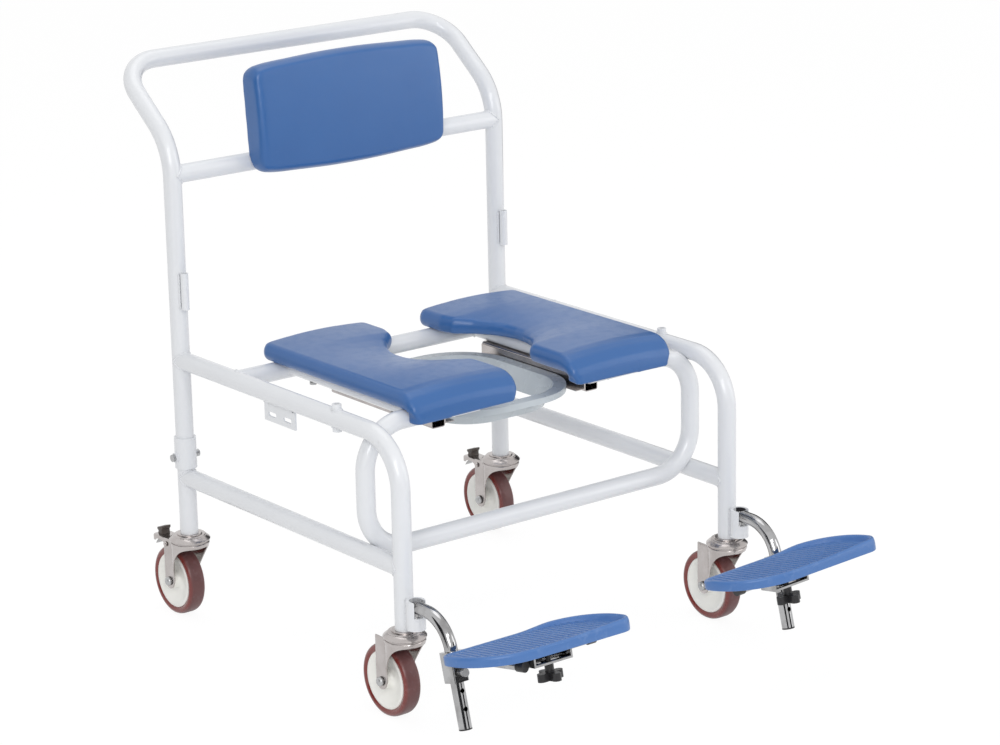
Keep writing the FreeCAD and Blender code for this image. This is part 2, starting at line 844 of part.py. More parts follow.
# Two straight arms that run into a skirt around the race, cut to the side view
def make_fork_wall():
    outer = race_d / 2
    inner = outer - fork_sheet
    low = axle_z - fork_foot_r
    skirt = pipe(vec(0, 0, low), vec(0, 0, crown_top), outer, inner)
    start = math.sqrt(inner ** 2 - arm_out ** 2)
    front = block((-outer, outer), (-outer, start + fork_sheet), (low, crown_top))
    arm = block((arm_in, arm_out), (start, crown_rear), (low, crown_top))
    return joined(skirt.common(front), arm, mirrored(arm)).common(make_fork_profile())


def brake_pin():
    z = crown_top - brake_pin_drop
    return vec(-arm_out, brake_pin_y, z), vec(arm_out, brake_pin_y, z)


def brake_top():
    return crown_low - brake_drop


def make_fork(braked):
    deck = block((-arm_out, arm_out), (0, crown_rear), (crown_low, crown_top))
    race = cylinder(vec(0, 0, crown_low), vec(0, 0, race_top), race_d / 2)
    pieces = [race, make_fork_wall()]
    if braked:
        pieces.append(cylinder(*brake_pin(), brake_pin_d / 2))
    kingpin_bore = cylinder(vec(0, 0, crown_low), vec(0, 0, race_top), kingpin_d / 2 + run_gap)
    axle_bore = wheel_cylinder(arm_out, axle_d / 2 + run_gap)
    return joined(deck, *pieces).cut([kingpin_bore, axle_bore])


def make_axle():
    shank = wheel_cylinder(arm_out, axle_d / 2)
    heads = wheel_cylinder(arm_out + axle_head, axle_head_d / 2).cut(wheel_cylinder(arm_out, axle_head_d))
    return joined(shank, *heads.Solids)


def tyre_inner_r():
    return wheel_d / 2 - tyre_depth


def make_tyre():
    tread = wheel_cylinder(wheel_width / 2, wheel_d / 2)
    rims = [edge for edge in tread.Edges if edge.Curve.TypeId == "Part::GeomCircle"]
    return tread.makeFillet(tread_round, rims).cut(wheel_cylinder(wheel_width, tyre_inner_r()))


# Dished hub: half its profile is turned about the axle and mirrored
def make_hub():
    rim_r = tyre_inner_r() - plug_gap
    boss_half = arm_in - seat_gap
    profile = [
        (0, 0), (boss_half, 0), (boss_half, hub_boss_d / 2), (hub_web / 2, hub_dish_d / 2),
        (hub_width / 2, rim_r - hub_rim), (hub_width / 2, rim_r), (0, rim_r), (0, 0),
    ]
    points = [vec(x, axle_y, axle_z + radius) for x, radius in profile]
    half = Part.Face(Part.makePolygon(points)).revolve(vec(0, axle_y, axle_z), vec(1, 0, 0), 360)
    bore = wheel_cylinder(fork_inside, axle_d / 2 + run_gap)
    return joined(half, mirrored(half)).cut(bore)


# Brake lever: a folded channel on a pin between the arms, with a shoe over the tyre and a release tongue
def make_brake_lever():
    half = arm_in - brake_side_gap
    top = brake_top()
    low = top - brake_height
    along = (brake_front, brake_rear)
    roof = block((-half, half), along, (top - brake_sheet, top))
    wall = block((half - brake_sheet, half), along, (low, top))
    shoe_along = (shoe_front, shoe_front + shoe_thickness)
    shoe = block((-shoe_width / 2, shoe_width / 2), shoe_along, (wheel_d + shoe_above, top))
    root = vec(-tongue_width / 2, brake_rear - tongue_root, top - brake_sheet)
    tip = root + vec(0, tongue_reach, -tongue_drop)
    back = vec(0, brake_sheet, 0)
    tongue = Part.Face(Part.makePolygon([root, root + back, tip + back, tip, root]))
    tongue = tongue.extrude(vec(tongue_width, 0, 0))
    lever = joined(roof, wall, mirrored(wall), shoe, tongue)
    return lever.cut(cylinder(*brake_pin(), brake_pin_d / 2 + run_gap))


# Pedal on the lever: a foot, a waist and a wider head that falls towards its rear end
def make_pedal_pad():
    middle = brake_rear - pedal_behind - pedal_depth / 2
    front_top = pedal_height
    rear_top = pedal_height - pedal_fall
    profile = [
        (-pedal_depth / 2, 0), (pedal_depth / 2, 0), (pedal_waist / 2, pedal_waist_z),
        (pedal_head / 2, rear_top - pedal_head_edge), (pedal_head / 2, rear_top),
        (-pedal_head / 2, front_top), (-pedal_head / 2, front_top - pedal_head_edge),
        (-pedal_waist / 2, pedal_waist_z + pedal_fall / 2), (-pedal_depth / 2, 0),
    ]
    points = [vec(-pedal_width / 2, middle + along, brake_top() + up) for along, up in profile]
    return Part.Face(Part.makePolygon(points)).extrude(vec(pedal_width, 0, 0))


# Socket for a footrest, notched at the front for the arm of the hanger
def make_footrest_socket(side):
    x = side * side_x
    low = vec(x, post_y, socket_low_z)
    high = low + vec(0, 0, socket_length)
    floor = low + vec(0, 0, socket_floor)
    shell = cylinder(low, high, socket_d / 2)
    bore = cylinder(floor, high, hanger_d / 2 + run_gap)
    drain = cylinder(low, floor, socket_drain_d / 2)
    half = hanger_d / 2 + seat_gap
    notch_low = arm_z - hanger_d / 2 - notch_below
    notch = block((x - half, x + half), (post_y, post_y - socket_d), (notch_low, high.z))
    return shell.cut([bore, drain, notch])


def hanger_corner(side):
    return vec(side * side_x, post_y - hanger_reach, arm_z)


def leg_heading():
    lean = math.radians(hanger_lean)
    return vec(0, -math.sin(lean), -math.cos(lean))


def leg_front():
    lean = math.radians(hanger_lean)
    return vec(0, -math.cos(lean), math.sin(lean))


def on_leg(side, distance):
    return hanger_corner(side) + leg_heading() * distance


def bend_reach():
    turn = math.radians(90 - hanger_lean)
    return hanger_bend * math.tan(turn / 2)


def make_hanger(side):
    radius = hanger_d / 2
    x = side * side_x
    points = [vec(x, post_y, arm_z), hanger_corner(side), on_leg(side, hanger_leg)]
    arm = bent_rod(points, [hanger_bend], radius)
    foot = vec(x, post_y, socket_low_z + socket_floor + seat_gap)
    post = cylinder(foot, vec(x, post_y, arm_z + radius), radius)
    past_post = vec(x, post_y - hanger_d, arm_z)
    bore = bent_rod([past_post] + points[1:], [hanger_bend], radius - hanger_wall)
    holes = []
    for index in range(hole_count):
        axis = on_leg(side, first_hole + index * hole_pitch)
        holes.append(cylinder(axis, axis + leg_front() * hanger_d, hole_d / 2))
    return joined(arm, post).cut([bore] + holes)


def make_hanger_plug(side):
    end = on_leg(side, hanger_leg)
    radius = hanger_d / 2 - hanger_wall - plug_gap
    plug = cylinder(end - leg_heading() * plug_length, end, radius)
    flange = cylinder(end, end + leg_heading() * plug_flange, hanger_d / 2)
    return joined(plug, flange)


# A point or shape given in the frame of a foot plate: across, along towards the rear, and up
def plate_point(name, across, along, up):
    tilt = math.radians(foot_tilt)
    roll = math.radians(foot_roll[name])
    y = along * math.cos(tilt) + up * math.sin(tilt)
    level = up * math.cos(tilt) - along * math.sin(tilt)
    x = across * math.cos(roll) - level * math.sin(roll)
    z = across * math.sin(roll) + level * math.cos(roll)
    return vec(sides[name] * foot_x + x, y - wheel_base - foot_ahead, z + foot_z + foot_lift[name])


def on_plate(shape, name):
    shape.rotate(vec(0, 0, 0), vec(1, 0, 0), -foot_tilt)
    shape.rotate(vec(0, 0, 0), vec(0, 1, 0), -foot_roll[name])
    shape.translate(plate_point(name, 0, 0, 0))
    return shape


def sleeve_top():
    return bend_reach() + seat_gap


# Square sleeve around the leg of a hanger, on the leg's own axis
def make_sleeve(side):
    half = sleeve_side / 2
    sleeve = prism(outline(half, half, [sleeve_round] * 4), -sleeve_length)
    sleeve.rotate(vec(0, 0, 0), vec(1, 0, 0), -hanger_lean)
    sleeve.translate(on_leg(side, sleeve_top()))
    return sleeve


def neck_line(name):
    side = sides[name]
    start = on_leg(side, neck_start)
    if name == "left":
        return start, plate_point(name, *left_neck_end)
    along, up = bar_place[name]
    return start, plate_point(name, side_x - foot_x, along, up)


# Runs of the carrier bar; the left one starts at the neck, the right one has its outer end swung forwards
def bar_points(name):
    along, up = bar_place[name]
    inner = plate_point(name, bar_inner_end[name], along, up)
    if name == "left":
        start, end = neck_line(name)
        share = (inner.y - start.y) / (end.y - start.y)
        return [inner, vec(start.x + (end.x - start.x) * share, inner.y, inner.z)]
    bend, end = right_bar_bend
    corner = plate_point(name, bend - bar_bend, along, up)
    return [inner, corner, plate_point(name, end, along - right_bar_swing, up)]


def bar_rod(name, radius):
    points = bar_points(name)
    if len(points) == 2:
        return cylinder(points[0], points[1], radius)
    return bent_rod(points, [bar_bend], radius)


def make_carrier(name):
    side = sides[name]
    across, along = bolt_place[name]
    link_top = -(foot_thickness + foot_boss + seat_gap)
    link_low = link_top - link_height
    reach = bar_place[name][0] - bar_d / 2 + link_wall / 2
    half = link_length / 2
    depth = (along - link_half_depth, reach)
    link = block((across - half, across + half), depth, (link_low, link_top))
    inner = half - link_wall
    window = block((across - inner, across + inner), depth, (link_low + link_wall, link_top - link_wall))
    slot_r = stud_d / 2 + seat_gap
    slot_ends = (across - foot_travel, across + foot_travel)
    slot = block(slot_ends, (along - slot_r, along + slot_r), (link_low, link_top))
    rounds = [cylinder(vec(end, along, link_low), vec(end, along, link_top), slot_r) for end in slot_ends]
    link = on_plate(link.cut([window, slot] + rounds), name)
    start, end = neck_line(name)
    neck = cylinder(start, end, bar_d / 2)
    heading = (end - start).normalize()
    hollow = bar_d / 2 - bar_wall
    neck_bore = cylinder(start + heading * sleeve_side, end, hollow)
    leg_bore = cylinder(on_leg(side, 0), on_leg(side, hanger_leg), hanger_d / 2 + run_gap)
    clamp = clamp_axis(side)
    clamp_bore = cylinder(clamp, clamp + leg_front() * sleeve_side, clamp_d / 2 + hole_gap)
    carrier = joined(make_sleeve(side), neck, bar_rod(name, bar_d / 2), link)
    return carrier.cut([neck_bore, bar_rod(name, hollow), leg_bore, clamp_bore])


# Closed ends of the bars: the point on the end and the direction out of the tube
def capped_ends(name):
    points = bar_points(name)
    ends = [(points[0], (points[0] - points[1]).normalize())]
    if name == "left":
        start, end = neck_line(name)
        ends.append((end, (end - start).normalize()))
    else:
        ends.append((points[-1], (points[-1] - points[-2]).normalize()))
    return ends


def make_cap(end, heading):
    cap = cylinder(end - heading * cap_length, end + heading * cap_end, bar_d / 2 + cap_wall)
    return cap.cut(cylinder(end - heading * cap_length, end, bar_d / 2 + plug_gap))


def clamp_axis(side):
    return on_leg(side, first_hole)


# Clamp screw in the front of the sleeve; its tip stops just short of the hanger
def make_clamp_bolt(side):
    axis = clamp_axis(side)
    front = leg_front()
    tip = axis + front * (hanger_d / 2 + seat_gap)
    shoulder_point = axis + front * (sleeve_side / 2 + clamp_neck)
    shank = cylinder(tip, shoulder_point, clamp_d / 2)
    head = cylinder(shoulder_point, shoulder_point + front * clamp_head, clamp_head_d / 2)
    return joined(shank, head)


# Leaf-shaped plate: large corners at the left front and right rear, small ones at the others
def foot_outline(inset, z):
    big = foot_big_corner - inset
    small = max(foot_small_corner - inset, foot_edge)
    return outline(foot_length / 2 - inset, foot_depth / 2 - inset, [small, big, small, big], z)


def make_foot_plate(name):
    slab = prism(foot_outline(0, -foot_thickness), foot_thickness)
    level = [edge for edge in slab.Edges if edge.BoundBox.ZLength < foot_edge]
    slab = slab.makeFillet(foot_edge, level)
    rim_top = prism(foot_outline(foot_edge, -foot_edge), foot_edge + foot_end_rise)
    rim_top = rim_top.cut(prism(foot_outline(foot_rim, -foot_edge), foot_edge + foot_end_rise))
    end = foot_length / 2
    slope = Part.makePolygon([
        vec(foot_end_start, -foot_depth, -foot_edge), vec(foot_end_start, -foot_depth, 0),
        vec(end, -foot_depth, foot_end_rise), vec(end, -foot_depth, -foot_edge),
        vec(foot_end_start, -foot_depth, -foot_edge),
    ])
    wedge = Part.Face(slope).extrude(vec(0, 2 * foot_depth, 0))
    recess = prism(foot_outline(foot_rim, -foot_recess), foot_recess)
    across, along = bolt_place[name]
    boss_low = vec(across, along, -foot_thickness - foot_boss)
    boss = cylinder(boss_low, vec(across, along, -foot_thickness), foot_boss_d / 2)
    stud_top = vec(across, along, stud_depth - foot_thickness + seat_gap)
    stud_bore = cylinder(boss_low, stud_top, stud_d / 2 + run_gap)
    plate = joined(slab.cut(recess), rim_top.common(wedge), boss, make_ribs()).cut(stud_bore)
    return on_plate(plate, name)


# Fine ribs across the tread
def make_ribs():
    reach = foot_length / 2 - foot_rim
    count = int(2 * reach / foot_rib_pitch)
    floor = -foot_recess
    area = prism(foot_outline(foot_rim, floor), foot_rib_height)
    bars = []
    for index in range(count):
        x = (index - (count - 1) / 2) * foot_rib_pitch
        across = (x - foot_rib_width / 2, x + foot_rib_width / 2)
        bars.append(block(across, (-foot_depth, foot_depth), (floor, floor + foot_rib_height)))
    return area.common(Part.makeCompound(bars))


# Four-armed clamp knob with its stud, on the normal of the plate
def make_knob(name):
    across, along = bolt_place[name]
    top = -(foot_thickness + foot_boss + link_height + 2 * seat_gap)
    grip_top = top - knob_neck
    grip_low = grip_top - knob_height
    stud = cylinder(vec(across, along, top), vec(across, along, stud_depth - foot_thickness), stud_d / 2)
    neck = cylinder(vec(across, along, grip_low), vec(across, along, top), knob_neck_d / 2)
    reach = (knob_span - knob_lobe_d) / 2
    half = knob_lobe_d / 2
    lobes = []
    for dx, dy in ((reach, 0), (-reach, 0), (0, reach), (0, -reach)):
        end = vec(across + dx, along + dy, grip_low)
        lobes.append(cylinder(end, end + vec(0, 0, knob_height), half))
    arms = [
        block((across - reach, across + reach), (along - half, along + half), (grip_low, grip_top)),
        block((across - half, across + half), (along - reach, along + reach), (grip_low, grip_top)),
    ]
    return on_plate(joined(neck, stud, *arms, *lobes), name)


def moved(shape, x, y):
    copy = shape.copy()
    copy.translate(vec(x, y, 0))
    return copy


castor_places = {
    "rear_left": (-side_x, 0.0),
    "rear_right": (side_x, 0.0),
    "front_left": (-side_x, -wheel_base),
    "front_right": (side_x, -wheel_base),
}

pieces = {
    "push_bow": [make_push_bow()],
    "front_loop": [make_front_loop()],
    "rear_seat_tube": [make_rear_seat_tube()],
    "seat_bearers": make_bearers(),
    "back_cross_tube": [make_cross_tube()],
    "back_pad": [make_back_pad()],
    "seat_pad_screws": make_pad_screws(),
    "pan_ring": [make_pan_ring()],
    "castor_stems": [moved(make_stem(), *place) for place in castor_places.values()],
}
groups = {
    "rear_collars": make_collar,
    "collar_bolts": make_collar_bolt,
    "lower_rails": make_lower_rail,
    "pan_rails": make_pan_rail,
    "armrest_sockets": make_armrest_socket,
    "accessory_plates": make_accessory_plate,
    "rail_bushes": make_rail_bush,
    "footrest_sockets": make_footrest_socket,
}
for node, make in groups.items():
    pieces[node] = [make(side) for side in sides.values()]
pieces["back_pad_clips"] = [make_back_clip(side * clip_x) for side in sides.values()]
pieces["back_pad_screws"] = [make_clip_screw(side * clip_x) for side in sides.values()]

handed = {
    "rear_leg": make_rear_leg,
    "side_tube": make_side_tube,
    "seat_pad": make_seat_pad,
    "hanger": make_hanger,
    "hanger_plug": make_hanger_plug,
    "clamp_bolt": make_clamp_bolt,
}
named = {"carrier": make_carrier, "foot_plate": make_foot_plate, "knob": make_knob}
for name, side in sides.items():
    for node, make in handed.items():
        pieces[node + "_" + name] = [make(side)]
    for node, make in named.items():
        pieces[node + "_" + name] = [make(name)]
    pieces["bar_caps_" + name] = [make_cap(*end) for end in capped_ends(name)]

axle = make_axle()
hub = make_hub()
tyre = make_tyre()
lever = make_brake_lever()
pedal = make_pedal_pad()
for corner, (x, y) in castor_places.items():
    braked = corner.startswith("rear")
    pieces["castor_fork_" + corner] = [moved(make_fork(braked), x, y)]
    pieces["castor_axle_" + corner] = [moved(axle, x, y)]
    pieces["castor_hub_" + corner] = [moved(hub, x, y)]
    pieces["castor_tyre_" + corner] = [moved(tyre, x, y)]
    if braked:
        name = corner.replace("rear_", "")
        pieces["brake_lever_" + name] = [moved(lever, x, y)]
        pieces["brake_pedal_" + name] = [moved(pedal, x, y)]

# The footprint runs from the foot plates to the handle bar
rearmost = handle_behind + tube_r
foremost = min(pieces["foot_plate_" + name][0].optimalBoundingBox(False).YMin for name in sides)
origin_shift = -(rearmost + foremost) / 2


def save(node, shapes):
    solids = [solid for shape in shapes for solid in shape.Solids]
    whole = solids[0] if len(solids) == 1 else Part.makeCompound(solids)
    moved(whole, 0, origin_shift).exportStep(os.path.join("parts", node + ".step"))


os.makedirs("parts", exist_ok=True)
for node, shapes in pieces.items():
    save(node, shapes)
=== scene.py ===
import bpy, bmesh, json, math
from mathutils import Matrix, Vector


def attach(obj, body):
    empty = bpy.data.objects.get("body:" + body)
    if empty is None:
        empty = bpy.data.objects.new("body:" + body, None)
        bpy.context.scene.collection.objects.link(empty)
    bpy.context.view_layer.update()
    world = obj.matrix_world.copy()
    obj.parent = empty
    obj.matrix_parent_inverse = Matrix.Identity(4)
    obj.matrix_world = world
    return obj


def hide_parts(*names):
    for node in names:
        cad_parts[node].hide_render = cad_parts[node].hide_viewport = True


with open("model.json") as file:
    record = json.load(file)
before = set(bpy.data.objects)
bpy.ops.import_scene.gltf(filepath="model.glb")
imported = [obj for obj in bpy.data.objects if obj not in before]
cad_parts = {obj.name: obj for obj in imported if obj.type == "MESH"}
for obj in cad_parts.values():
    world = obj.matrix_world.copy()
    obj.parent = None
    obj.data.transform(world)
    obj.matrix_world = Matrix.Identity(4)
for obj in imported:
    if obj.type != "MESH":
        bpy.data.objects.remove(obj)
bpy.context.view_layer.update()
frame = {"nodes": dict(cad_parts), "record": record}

nodes = frame["nodes"]
mm = 0.001
sides = {"left": -1, "right": 1}
legs = {"x": 0.35, "rear": 0.3905, "front": -0.2535}     # places of the four legs
castorPlaces = {row + "_" + side: (sides[side] * legs["x"], legs[row])
                for row in ("rear", "front") for side in sides}


# camera, set up from the photograph's own perspective
camera = {
    "place": (-3.2635, -4.2989, 2.0229), "azimuth": -37.637, "elevation": 16.048, "roll": -1.16,
    "lens": 117.59, "sensor": 36,
}


def setCamera():
    az, el, roll = (math.radians(camera[key]) for key in ("azimuth", "elevation", "roll"))
    back = Vector((math.sin(az) * math.cos(el), -math.cos(az) * math.cos(el), math.sin(el)))
    right = Vector((math.cos(az), math.sin(az), 0))
    up = back.cross(right)
    facing = Matrix((right, up, back)).transposed() @ Matrix.Rotation(roll, 3, "Z")
    data = bpy.data.cameras.new("camera")
    data.sensor_fit = "HORIZONTAL"
    data.sensor_width = camera["sensor"]
    data.lens = camera["lens"]
    view = bpy.data.objects.new("camera", data)
    view.matrix_world = Matrix.Translation(camera["place"]) @ facing.to_4x4()
    bpy.context.scene.collection.objects.link(view)
    bpy.context.scene.camera = view


setCamera()
print("camera set")


# shader maths as plain expressions: a Wire is one output socket
class Wire:
    def __init__(self, finish, socket):
        self.finish, self.socket = finish, socket

    def maths(self, operation, first, second):
        return self.finish.node("ShaderNodeMath", {"operation": operation}, {0: first, 1: second})

    def __add__(self, other):
        return self.maths("ADD", self, other)

    def __sub__(self, other):
        return self.maths("SUBTRACT", self, other)

    def __rsub__(self, other):
        return self.maths("SUBTRACT", other, self)

    def __mul__(self, other):
        return self.maths("MULTIPLY", self, other)

    __radd__, __rmul__ = __add__, __mul__


# one material on a Principled shader; fixed inputs are given by name with _ for a space
class Finish:
    def __init__(self, name, **fixed):
        self.material = bpy.data.materials.new(name)
        self.material.use_nodes = True
        self.tree = self.material.node_tree
        self.shader = self.tree.nodes["Principled BSDF"]
        self.show(**fixed)
        self.place = self.node("ShaderNodeTexCoord", out="Object")

    def feed(self, node, inputs):
        for key, value in inputs.items():
            if isinstance(value, Wire):
                self.tree.links.new(value.socket, node.inputs[key])
            else:
                node.inputs[key].default_value = value

    def node(self, kind, settings={}, inputs={}, out=0):
        made = self.tree.nodes.new(kind)
        for key, value in settings.items():
            if key == "stops":
                ramp = made.color_ramp.elements
                for element, (at, level) in zip([ramp[0], ramp[1]], value):
                    element.position, element.color = at, (level, level, level, 1)
            else:
                setattr(made, key, value)
        self.feed(made, inputs)
        return Wire(self, made.outputs[out])

    # fine pattern on the object's own coordinates; stretch squeezes it along an axis
    def noise(self, scale, detail=2.0, stretch=(1, 1, 1), roughness=0.5):
        at = self.place
        if stretch != (1, 1, 1):
            at = self.node("ShaderNodeVectorMath", {"operation": "MULTIPLY"}, {0: at, 1: stretch})
        inputs = {"Vector": at, "Scale": scale, "Detail": detail, "Roughness": roughness}
        return self.node("ShaderNodeTexNoise", {}, inputs)

    def ramp(self, value, low, high):
        return self.node("ShaderNodeValToRGB", {"stops": [(low, 0), (high, 1)]}, {"Fac": value})

    def mixed(self, share, first, second):
        inputs = {"Factor": share, 6: first, 7: second}
        return self.node("ShaderNodeMix", {"data_type": "RGBA"}, inputs, out=2)

    def bump(self, height, depth):
        made = self.node("ShaderNodeBump", {}, {"Height": height, "Distance": depth})
        self.feed(self.shader, {"Normal": made})

    def show(self, **inputs):
        self.feed(self.shader, {key.replace("_", " "): value for key, value in inputs.items()})
        return self.material


# screen colour, 0 to 255, as the linear colour that a shader takes
def colour(red, green, blue):
    linear = [level / 12.92 if level <= 0.04045 else ((level + 0.055) / 1.055) ** 2.4
              for level in (red / 255, green / 255, blue / 255)]
    return (*linear, 1)


powderCoat = {
    "white": (232, 234, 237), "shade": (225, 227, 231), "scuff": (188, 189, 190),
    "scuffShare": 0.55, "peel": 0.00012, "coat": 0.5, "coatRoughness": 0.07, "roughness": 0.24,
}


def makePowderCoat():
    gloss = {"Coat_Weight": powderCoat["coat"], "Coat_Roughness": powderCoat["coatRoughness"]}
    coat = Finish("powderCoatWhite", **gloss)
    cloud = coat.noise(scale=7, detail=3)
    streaks = coat.noise(scale=26, detail=6, stretch=(1, 1, 0.35), roughness=0.7)
    scuffs = coat.ramp(streaks, low=0.67, high=0.78) * coat.ramp(coat.noise(scale=5), low=0.5, high=0.62)
    tint = coat.mixed(cloud, colour(*powderCoat["white"]), colour(*powderCoat["shade"]))
    tint = coat.mixed(scuffs * powderCoat["scuffShare"], tint, colour(*powderCoat["scuff"]))
    coat.bump(coat.noise(scale=420) + coat.noise(scale=1300, detail=1) * 0.3, powderCoat["peel"])
    roughness = coat.noise(scale=18) * 0.16 + powderCoat["roughness"] + scuffs * 0.2
    return coat.show(Base_Color=tint, Roughness=roughness)


stainlessSteel = {"bright": (201, 196, 195), "dull": (165, 158, 155), "grain": 0.00003, "roughness": 0.13}


def makeStainless():
    steel = Finish("satinStainless", Metallic=1.0)
    grain = steel.noise(scale=240, detail=3, stretch=(6, 6, 0.3))
    cloud = steel.noise(scale=30, detail=4)
    steel.bump(grain, stainlessSteel["grain"])
    tint = steel.mixed(cloud, colour(*stainlessSteel["bright"]), colour(*stainlessSteel["dull"]))
    return steel.show(Base_Color=tint, Roughness=grain * 0.12 + cloud * 0.08 + stainlessSteel["roughness"])


chromePlate = {"bright": (178, 178, 179), "dull": (142, 141, 141), "roughness": 0.05}


def makeChrome():
    chrome = Finish("polishedChrome", Metallic=1.0)
    smudge = chrome.ramp(chrome.noise(scale=36, detail=5), low=0.42, high=0.72)
    tint = chrome.mixed(smudge, colour(*chromePlate["bright"]), colour(*chromePlate["dull"]))
    roughness = smudge * 0.12 + chrome.noise(scale=400) * 0.03 + chromePlate["roughness"]
    return chrome.show(Base_Color=tint, Roughness=roughness)


padSkin = {"blue": (55, 104, 166), "deep": (50, 97, 158), "grain": 0.00009, "cells": 780.0, "roughness": 0.26}


def makePadSkin():
    skin = Finish("mouldedPadBlue")
    cells = skin.node("ShaderNodeTexVoronoi", {"feature": "SMOOTH_F1"},
                      {"Vector": skin.place, "Scale": padSkin["cells"], "Smoothness": 0.6})
    cloud = skin.noise(scale=11, detail=4)
    rubbed = skin.ramp(skin.noise(scale=60, detail=5), low=0.45, high=0.75)
    skin.bump(cells + skin.noise(scale=1900) * 0.5, padSkin["grain"])
    tint = skin.mixed(cloud, colour(*padSkin["blue"]), colour(*padSkin["deep"]))
    return skin.show(Base_Color=tint, Roughness=rubbed * 0.08 + cloud * 0.06 + padSkin["roughness"])


plateSkin = {
    "blue": (78, 122, 184), "deep": (72, 114, 176), "worn": (120, 150, 198),
    "wornShare": 0.4, "grain": 0.0001, "roughness": 0.34,
}


def makePlateSkin():
    skin = Finish("mouldedPlateBlue")
    cloud = skin.noise(scale=16, detail=4)
    worn = skin.ramp(skin.noise(scale=70, detail=6), low=0.58, high=0.76)
    skin.bump(skin.noise(scale=1100, detail=3), plateSkin["grain"])
    tint = skin.mixed(cloud, colour(*plateSkin["blue"]), colour(*plateSkin["deep"]))
    tint = skin.mixed(worn * plateSkin["wornShare"], tint, colour(*plateSkin["worn"]))
    return skin.show(Base_Color=tint, Roughness=worn * 0.14 + plateSkin["roughness"])


tyreSkin = {
    "red": (134, 50, 44), "deep": (108, 40, 36), "dust": (140, 92, 86), "dustShare": 0.3,
    "tread": (95, 62, 62), "worn": (112, 86, 88), "grain": 0.00008, "roughness": 0.22, "coat": 0.3,
}


# red rubber, matt and dusty where the tyre's tread attribute is 1
def makeTyre():
    rubber = Finish("castPolyurethaneRed", Coat_Roughness=0.1)
    cloud = rubber.noise(scale=22, detail=3)
    dust = rubber.ramp(rubber.noise(scale=120, detail=6), low=0.55, high=0.8)
    tread = rubber.node("ShaderNodeAttribute", {"attribute_name": "tread"}, out="Fac")
    worn = tread * (rubber.noise(scale=40, detail=5) * 0.5 + 0.6)
    pits = rubber.noise(scale=500, detail=3) + worn * rubber.noise(scale=900, detail=4)
    rubber.bump(pits, tyreSkin["grain"])
    tint = rubber.mixed(cloud, colour(*tyreSkin["red"]), colour(*tyreSkin["deep"]))
    tint = rubber.mixed(dust * tyreSkin["dustShare"], tint, colour(*tyreSkin["dust"]))
    running = rubber.mixed(dust, colour(*tyreSkin["tread"]), colour(*tyreSkin["worn"]))
    tint = rubber.mixed(worn, tint, running)
    roughness = dust * 0.15 + worn * 0.3 + tyreSkin["roughness"]
    return rubber.show(Base_Color=tint, Roughness=roughness, Coat_Weight=tyreSkin["coat"] - worn * 0.25)


zincPlate = {
    "bright": (196, 197, 197), "dull": (168, 168, 170), "spangle": 520.0, "grain": 0.00004, "roughness": 0.24,
}


def makeZinc():
    zinc = Finish("zincPlate", Metallic=1.0)
    inputs = {"Vector": zinc.place, "Scale": zincPlate["spangle"]}
    spangle = zinc.node("ShaderNodeTexVoronoi", {}, inputs, out="Distance")
    cloud = zinc.noise(scale=90, detail=4)
    zinc.bump(zinc.noise(scale=800, detail=3), zincPlate["grain"])
    tint = zinc.mixed(cloud, colour(*zincPlate["bright"]), colour(*zincPlate["dull"]))
    return zinc.show(Base_Color=tint, Roughness=spangle * 0.2 + cloud * 0.12 + zincPlate["roughness"])


mouldings = {
    "hub_white": {"name": "hubNylon", "pale": (249, 249, 245), "shade": (241, 240, 234),
                  "roughness": (0.24, 0.38), "grain": 0.00006},
    # the ring's two tones are set darker than its white plastic: painted shade for the shade the pads cast on
    # it
    "ring_white": {"name": "ringPlasticPaintedShade", "pale": (203, 210, 214), "shade": (193, 201, 206),
                   "roughness": (0.2, 0.34), "grain": 0.00004},
    "black_plastic": {"name": "blackPlastic", "pale": (30, 29, 31), "shade": (38, 37, 39),
                      "roughness": (0.3, 0.46), "grain": 0.00012},
    "pedal_brown": {"name": "pedalBrown", "pale": (84, 75, 70), "shade": (66, 58, 54),
                    "roughness": (0.34, 0.5), "grain": 0.00015},
}


def makeMoulding(settings):
    plastic = Finish(settings["name"])
    low, high = settings["roughness"]
    cloud = plastic.noise(scale=24, detail=4)
    plastic.bump(plastic.noise(scale=900, detail=3), settings["grain"])
    tint = plastic.mixed(cloud, colour(*settings["pale"]), colour(*settings["shade"]))
    return plastic.show(Base_Color=tint, Roughness=cloud * (high - low) + low)


finishes = {
    "frame_white": makePowderCoat(),
    "stainless": makeStainless(),
    "chrome": makeChrome(),
    "pad_blue": makePadSkin(),
    "plate_blue": makePlateSkin(),
    "tyre_red": makeTyre(),
    "zinc": makeZinc(),
}
for slot, settings in mouldings.items():
    finishes[slot] = makeMoulding(settings)
for part in frame["record"]["subparts"]:
    for holder in nodes[part["node"]].material_slots:
        holder.material = finishes[part["material_slot"]]
print("finishes made")


def addPiece(name, mesh, body, slot):
    for face in mesh.polygons:
        face.use_smooth = True
    mesh.materials.clear()
    mesh.materials.append(finishes[slot])
    piece = bpy.data.objects.new(name, mesh)
    bpy.context.scene.collection.objects.link(piece)
    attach(piece, body)
    return piece


# turns a bmesh into a piece: outward normals, and sharp edges only where faces meet at an angle
def finishPiece(name, shell, body, slot, sharpFrom, *replaced):
    bmesh.ops.remove_doubles(shell, verts=shell.verts, dist=0.000005)
    bmesh.ops.recalc_face_normals(shell, faces=shell.faces)
    for edge in shell.edges:
        edge.smooth = edge.calc_face_angle(0) < math.radians(sharpFrom)
    mesh = bpy.data.meshes.new(name)
    shell.to_mesh(mesh)
    shell.free()
    piece = addPiece(name, mesh, body, slot)
    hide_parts(*replaced)
    return piece


# mesh of an object as its modifiers or its curve's bevel leave it
def applied(piece):
    graph = bpy.context.evaluated_depsgraph_get()
    graph.update()
    return bpy.data.meshes.new_from_object(piece.evaluated_get(graph))


